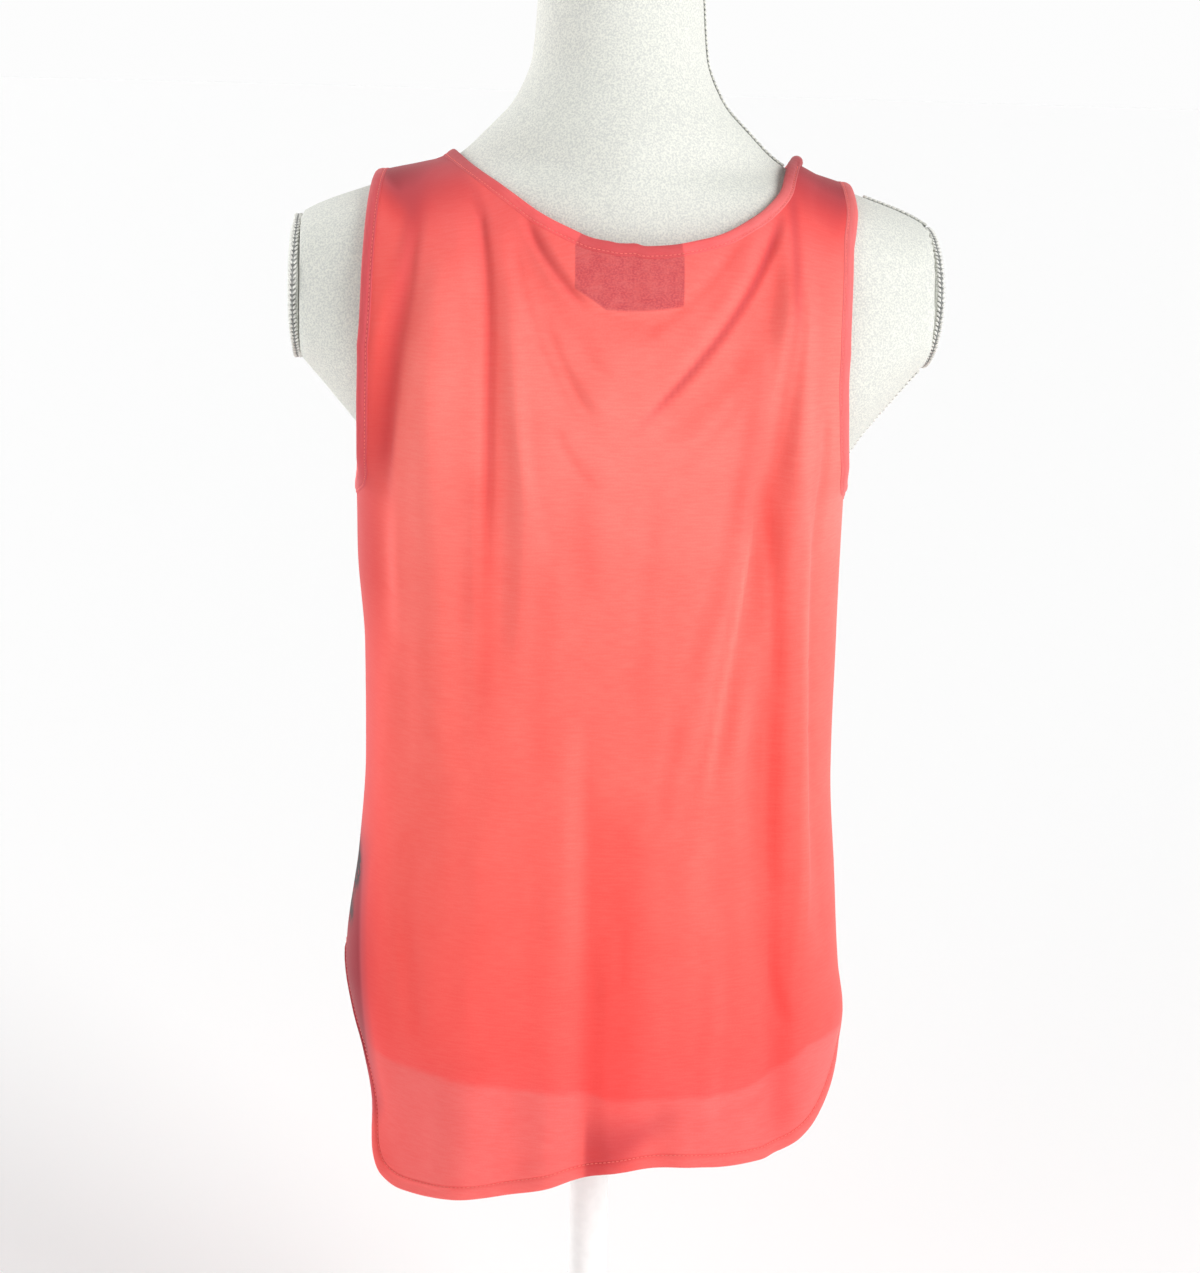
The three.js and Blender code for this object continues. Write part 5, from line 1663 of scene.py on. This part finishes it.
@dataclass
class DressForm:
    """The covered form, its arm plates and the braid that trims its edges."""

    shape: FormShape
    rows: int = 170
    sides: int = 180
    edge_radius: float = 7.0
    braid_proud: float = 0.9

    def body(self, materials: dict[str, bpy.types.Material]) -> bpy.types.Object:
        """Makes the covered torso with a rounded lower edge."""
        heights = np.linspace(FORM_TOP, FORM_BOTTOM + self.edge_radius, self.rows)
        turn = np.linspace(0, 2 * math.pi, self.sides, endpoint=False)
        rings = self.shape.point(heights[:, None], turn[None, :])
        bend = np.linspace(0, RIGHT_ANGLE, 7)[1:, None]
        z = FORM_BOTTOM + self.edge_radius * (1 - np.sin(bend))
        low = self.shape.point(z, turn[None, :], grown=-self.edge_radius * (1 - np.cos(bend)))
        return dress(loft_piece("form_torso", np.vstack([rings, low])), FORM_COVER, materials, ["form_body"])

    def plate(self, side: Side, materials: dict[str, bpy.types.Material]) -> bpy.types.Object:
        """Makes one domed arm plate."""
        size = ARM_PLATE
        profile = rounded_profile(
            [(0.001, 0), (1, 0), (1, 0.3), (0.93, 0.62), (0.75, 0.85), (0.45, 0.97), (0.001, 1)], 0.12)
        turn = np.linspace(0, 2 * math.pi, 72, endpoint=False)
        x = side.value * (ARM_FLAT + 0.3 + size["thick"] * profile[:, 1:])
        y = size["middle"] + size["half_depth"] * profile[:, :1] * np.cos(turn)
        z = size["z"] + size["half_height"] * profile[:, :1] * np.sin(turn)
        name = side.name.lower()
        rings = np.stack(np.broadcast_arrays(x, y, z), -1)
        return dress(loft_piece(f"arm_cap_{name}", rings), PLATE_COVER, materials, [f"arm_plate_{name}"])

    def braid(self, name: str, line: Array, lift: Array, closed: bool,
              materials: dict[str, bpy.types.Material]) -> None:
        """Lays a two-strand braid on its tape along a line.

        Args:
            name: the piece's name.
            line: the line on the form in millimetres.
            lift: the way off the form at each point.
            closed: whether the line ends where it starts.
            materials: materials made so far.
        """
        cord = materials.setdefault(BRAID.name, BRAID.build())
        raised = line + lift * self.braid_proud
        strands = [
            strand.lay(name if i == 0 else f"{name}_other", raised, lift, closed, cord)
            for i, strand in enumerate(BRAID_STRANDS)
        ]
        dress(join_pieces(strands), BRAID, materials)
        ground = materials.setdefault(BRAID_GROUND.name, BRAID_GROUND.build())
        tape = BRAID_TAPE.lay(f"{name}_tape", raised - lift, lift, closed, ground)
        dress(tape, BRAID_GROUND, materials)

    def plate_braid(self, side: Side, materials: dict[str, bpy.types.Material]) -> None:
        """Lays the braid round one arm plate's rim."""
        turn = np.linspace(0, 2 * math.pi, 120, endpoint=False)
        ring = np.stack([np.zeros(turn.shape), np.cos(turn), np.sin(turn)], -1)
        reach = np.array([0, ARM_PLATE["half_depth"], ARM_PLATE["half_height"]])
        out = side.value * (ARM_FLAT + 1.8 + 2.6 * np.cos(turn) ** 2)
        centre = np.stack([out, 0 * turn + ARM_PLATE["middle"], 0 * turn + ARM_PLATE["z"]], -1)
        self.braid(f"arm_braid_{side.name.lower()}", centre + ring * reach, ring, True, materials)

    def seam_braid(self, name: str, side: Side, heights: tuple[float, float], lean_back: float,
                   materials: dict[str, bpy.types.Material]) -> None:
        """Lays the braid along the form's side line between two heights.

        Args:
            name: the piece's name.
            side: the side of the form.
            heights: where it starts and ends.
            lean_back: how far towards the back it lies, as a turn.
            materials: materials made so far.
        """
        z = np.linspace(*heights, 60)
        turn = lean_back if side is Side.LEFT else math.pi - lean_back
        line = self.shape.point(z, np.full(z.shape, turn))
        run = np.gradient(line, axis=0)
        lift = np.cross(run, np.array([0.0, 1.0, 0.0]))
        lift *= np.sign(lift[:, :1]) * side.value
        lift /= np.linalg.norm(lift, axis=1, keepdims=True)
        self.braid(name, line, lift, False, materials)


@dataclass
class Stand:
    """The cap on the neck, the socket under the torso, the pole and the round foot."""

    cap_radius: float = 47.0
    cap_thick: float = 7.0
    cap_middle: float = -14.0
    socket_radius: float = 28.0
    socket_height: float = 26.0
    pole_radius: float = 13.0
    foot_radius: float = 145.0
    foot_thick: float = 12.0
    gap: float = 0.3

    def build(self, materials: dict[str, bpy.types.Material]) -> None:
        """Makes the four turned pieces."""
        floor = -SHOULDER_HEIGHT
        under = FORM_BOTTOM - self.gap
        pieces = (
            ("neck_plate", "neck_cap", (0, self.cap_middle, FORM_TOP + self.gap), 1.6,
             [(0.01, 0), (self.cap_radius, 0), (self.cap_radius, self.cap_thick), (0.01, self.cap_thick)]),
            ("stand_socket", "stand_collar", (0, 0, under - self.socket_height), 1.5,
             [(0.01, 0), (self.socket_radius * 0.7, 0), (self.socket_radius, 6),
              (self.socket_radius, self.socket_height), (0.01, self.socket_height)]),
            ("stand_tube", "stand_pole", (0, 0, floor + self.foot_thick + self.gap), 0.8,
             [(0.01, 0), (self.pole_radius, 0),
              (self.pole_radius, under - self.socket_height - floor - self.foot_thick - 2 * self.gap),
              (0.01, under - self.socket_height - floor - self.foot_thick - 2 * self.gap)]),
            ("stand_foot", "base_plate", (0, 0, floor), 2.4,
             [(0.01, 0), (self.foot_radius, 0), (self.foot_radius, self.foot_thick - 3),
              (self.foot_radius - 3, self.foot_thick), (0.01, self.foot_thick)]),
        )
        for name, node, centre, rounding, profile in pieces:
            dress(turned_piece(name, profile, centre, rounding), STAND_PAINT, materials, [node])


@dataclass
class Studio:
    """A plain pale floor, soft light and the camera at the picture's angle.

    Each lamp is a sun: its name, the way to it as a turn from the camera's side and a height,
    both in degrees, and its strength.
    """

    azimuth: float = 175.0
    elevation: float = 13.0
    distance: float = 1650.0
    roll: float = 1.6
    target: tuple[float, float, float] = (3.0, 0.0, -306.0)
    lens: float = 71.79
    floor_radius: float = 60.0
    sky: float = 0.20
    horizon: float = 0.98
    floor_shade: tuple[float, float, float] = (255, 255, 255)
    softness: float = 38.0
    lamps: tuple[tuple[str, float, float, float], ...] = (
        ("key", 58.0, 28.0, 2.15),
        ("fill", -38.0, 18.0, 0.35),
        ("front_key", 238.0, 28.0, 2.15),
        ("front_fill", 142.0, 18.0, 0.35),
    )

    def camera(self) -> bpy.types.Object:
        """Places the camera.

        Returns:
            The camera, set as the scene's.
        """
        turn, tilt, roll = (math.radians(v) for v in (self.azimuth, self.elevation, self.roll))
        away = Vector((math.sin(turn) * math.cos(tilt), -math.cos(turn) * math.cos(tilt), math.sin(tilt)))
        right = (-away).cross(Vector((0, 0, 1))).normalized()
        up = right.cross(-away)
        cosine, sine = math.cos(roll), math.sin(roll)
        right, up = right * cosine + up * sine, up * cosine - right * sine
        data = bpy.data.cameras.new("camera")
        data.lens = self.lens
        data.clip_start, data.clip_end = 0.05, 60
        camera = bpy.data.objects.new("camera", data)
        bpy.context.scene.collection.objects.link(camera)
        place = Vector(to_metres(np.array(self.target))) + away * self.distance * MM
        camera.matrix_world = Matrix.Translation(place) @ Matrix((right, up, away)).transposed().to_4x4()
        bpy.context.scene.camera = camera
        return camera

    def lights(self) -> None:
        """Hangs the soft lamps."""
        for name, turn, height, strength in self.lamps:
            data = bpy.data.lights.new(name, "SUN")
            data.energy, data.angle = strength, math.radians(self.softness)
            lamp = bpy.data.objects.new(name, data)
            way, rise = math.radians(self.azimuth - 90 + turn), math.radians(height)
            towards = Vector((math.cos(way) * math.cos(rise), math.sin(way) * math.cos(rise), math.sin(rise)))
            lamp.location = towards * 3
            lamp.rotation_mode = "QUATERNION"
            lamp.rotation_quaternion = towards.to_track_quat("Z", "Y")
            bpy.context.scene.collection.objects.link(lamp)

    def world(self) -> None:
        """Sets a pale sky, white near the horizon."""
        world = bpy.data.worlds.new("studio")
        world.use_nodes = True
        world.node_tree.nodes.clear()
        sketch = NodeSketch(world.node_tree)
        way = sketch.add("ShaderNodeTexCoord").outputs["Generated"]
        rise = sketch.add("ShaderNodeSeparateXYZ", {0: way}).outputs[2]
        strength = sketch.between(rise, 0.10, 0.45, self.horizon, self.sky)
        light = sketch.add("ShaderNodeBackground", {"Color": (1, 1, 1, 1), "Strength": strength})
        sketch.add("ShaderNodeOutputWorld", {0: light.outputs[0]})
        bpy.context.scene.world = world

    def floor(self) -> None:
        """Lays the plain pale floor."""
        count = 96
        turn = np.linspace(0, 2 * math.pi, count, endpoint=False)
        points = np.stack([np.cos(turn), np.sin(turn), 0 * turn], -1) * self.floor_radius
        mesh = bpy.data.meshes.new("floor")
        mesh.from_pydata(points.tolist(), [], [list(range(count))])
        material = bpy.data.materials.new("floor_paper")
        material.use_nodes = True
        shader = material.node_tree.nodes["Principled BSDF"]
        shader.inputs["Base Color"].default_value = srgb(*self.floor_shade)
        shader.inputs["Roughness"].default_value = 0.9
        mesh.materials.append(material)
        floor = bpy.data.objects.new("floor", mesh)
        bpy.context.scene.collection.objects.link(floor)

    def build(self) -> None:
        """Sets up camera, lights, sky and floor."""
        self.camera()
        self.lights()
        self.world()
        self.floor()
        bpy.context.scene.view_settings.view_transform = "Standard"


def main() -> None:
    """Builds the form, the top and the studio."""
    logging.basicConfig(level=logging.INFO, format="%(name)s %(message)s")
    Studio().build()
    materials: dict[str, bpy.types.Material] = {}
    shape = FormShape()
    back, front = WornCloth(Face.BACK, shape), WornCloth(Face.FRONT, shape)

    form = DressForm(shape)
    form.body(materials)
    for side in Side:
        form.plate(side, materials)
        form.plate_braid(side, materials)
    form.seam_braid("neck_braid", Side.RIGHT, (99.0, -2.0), 0.06, materials)
    form.seam_braid("shoulder_braid", Side.RIGHT, (-21.0, -37.0), 0.0, materials)
    form.seam_braid("underarm_braid", Side.RIGHT, (-128.0, -190.0), 0.1, materials)
    Stand().build(materials)

    bindings = EdgeBindings(back, front)
    neck = bindings.neck(materials)
    arms = [piece for side in Side for piece in bindings.armhole(side, materials)]
    tag = NeckTag(back).build(materials)
    back_panel = ClothPanel(back, "back_cloth", "back_panel", JERSEY,
                            flat=(0.48, 0.74), area=0.262)
    front_panel = ClothPanel(front, "front_cloth", "front_panel", PRINTED_JERSEY,
                             flat=(0.50, 0.68), area=0.253)
    back_pieces = back_panel.build(materials)
    front_pieces = front_panel.build(materials)


if __name__ == "__main__":
    main()
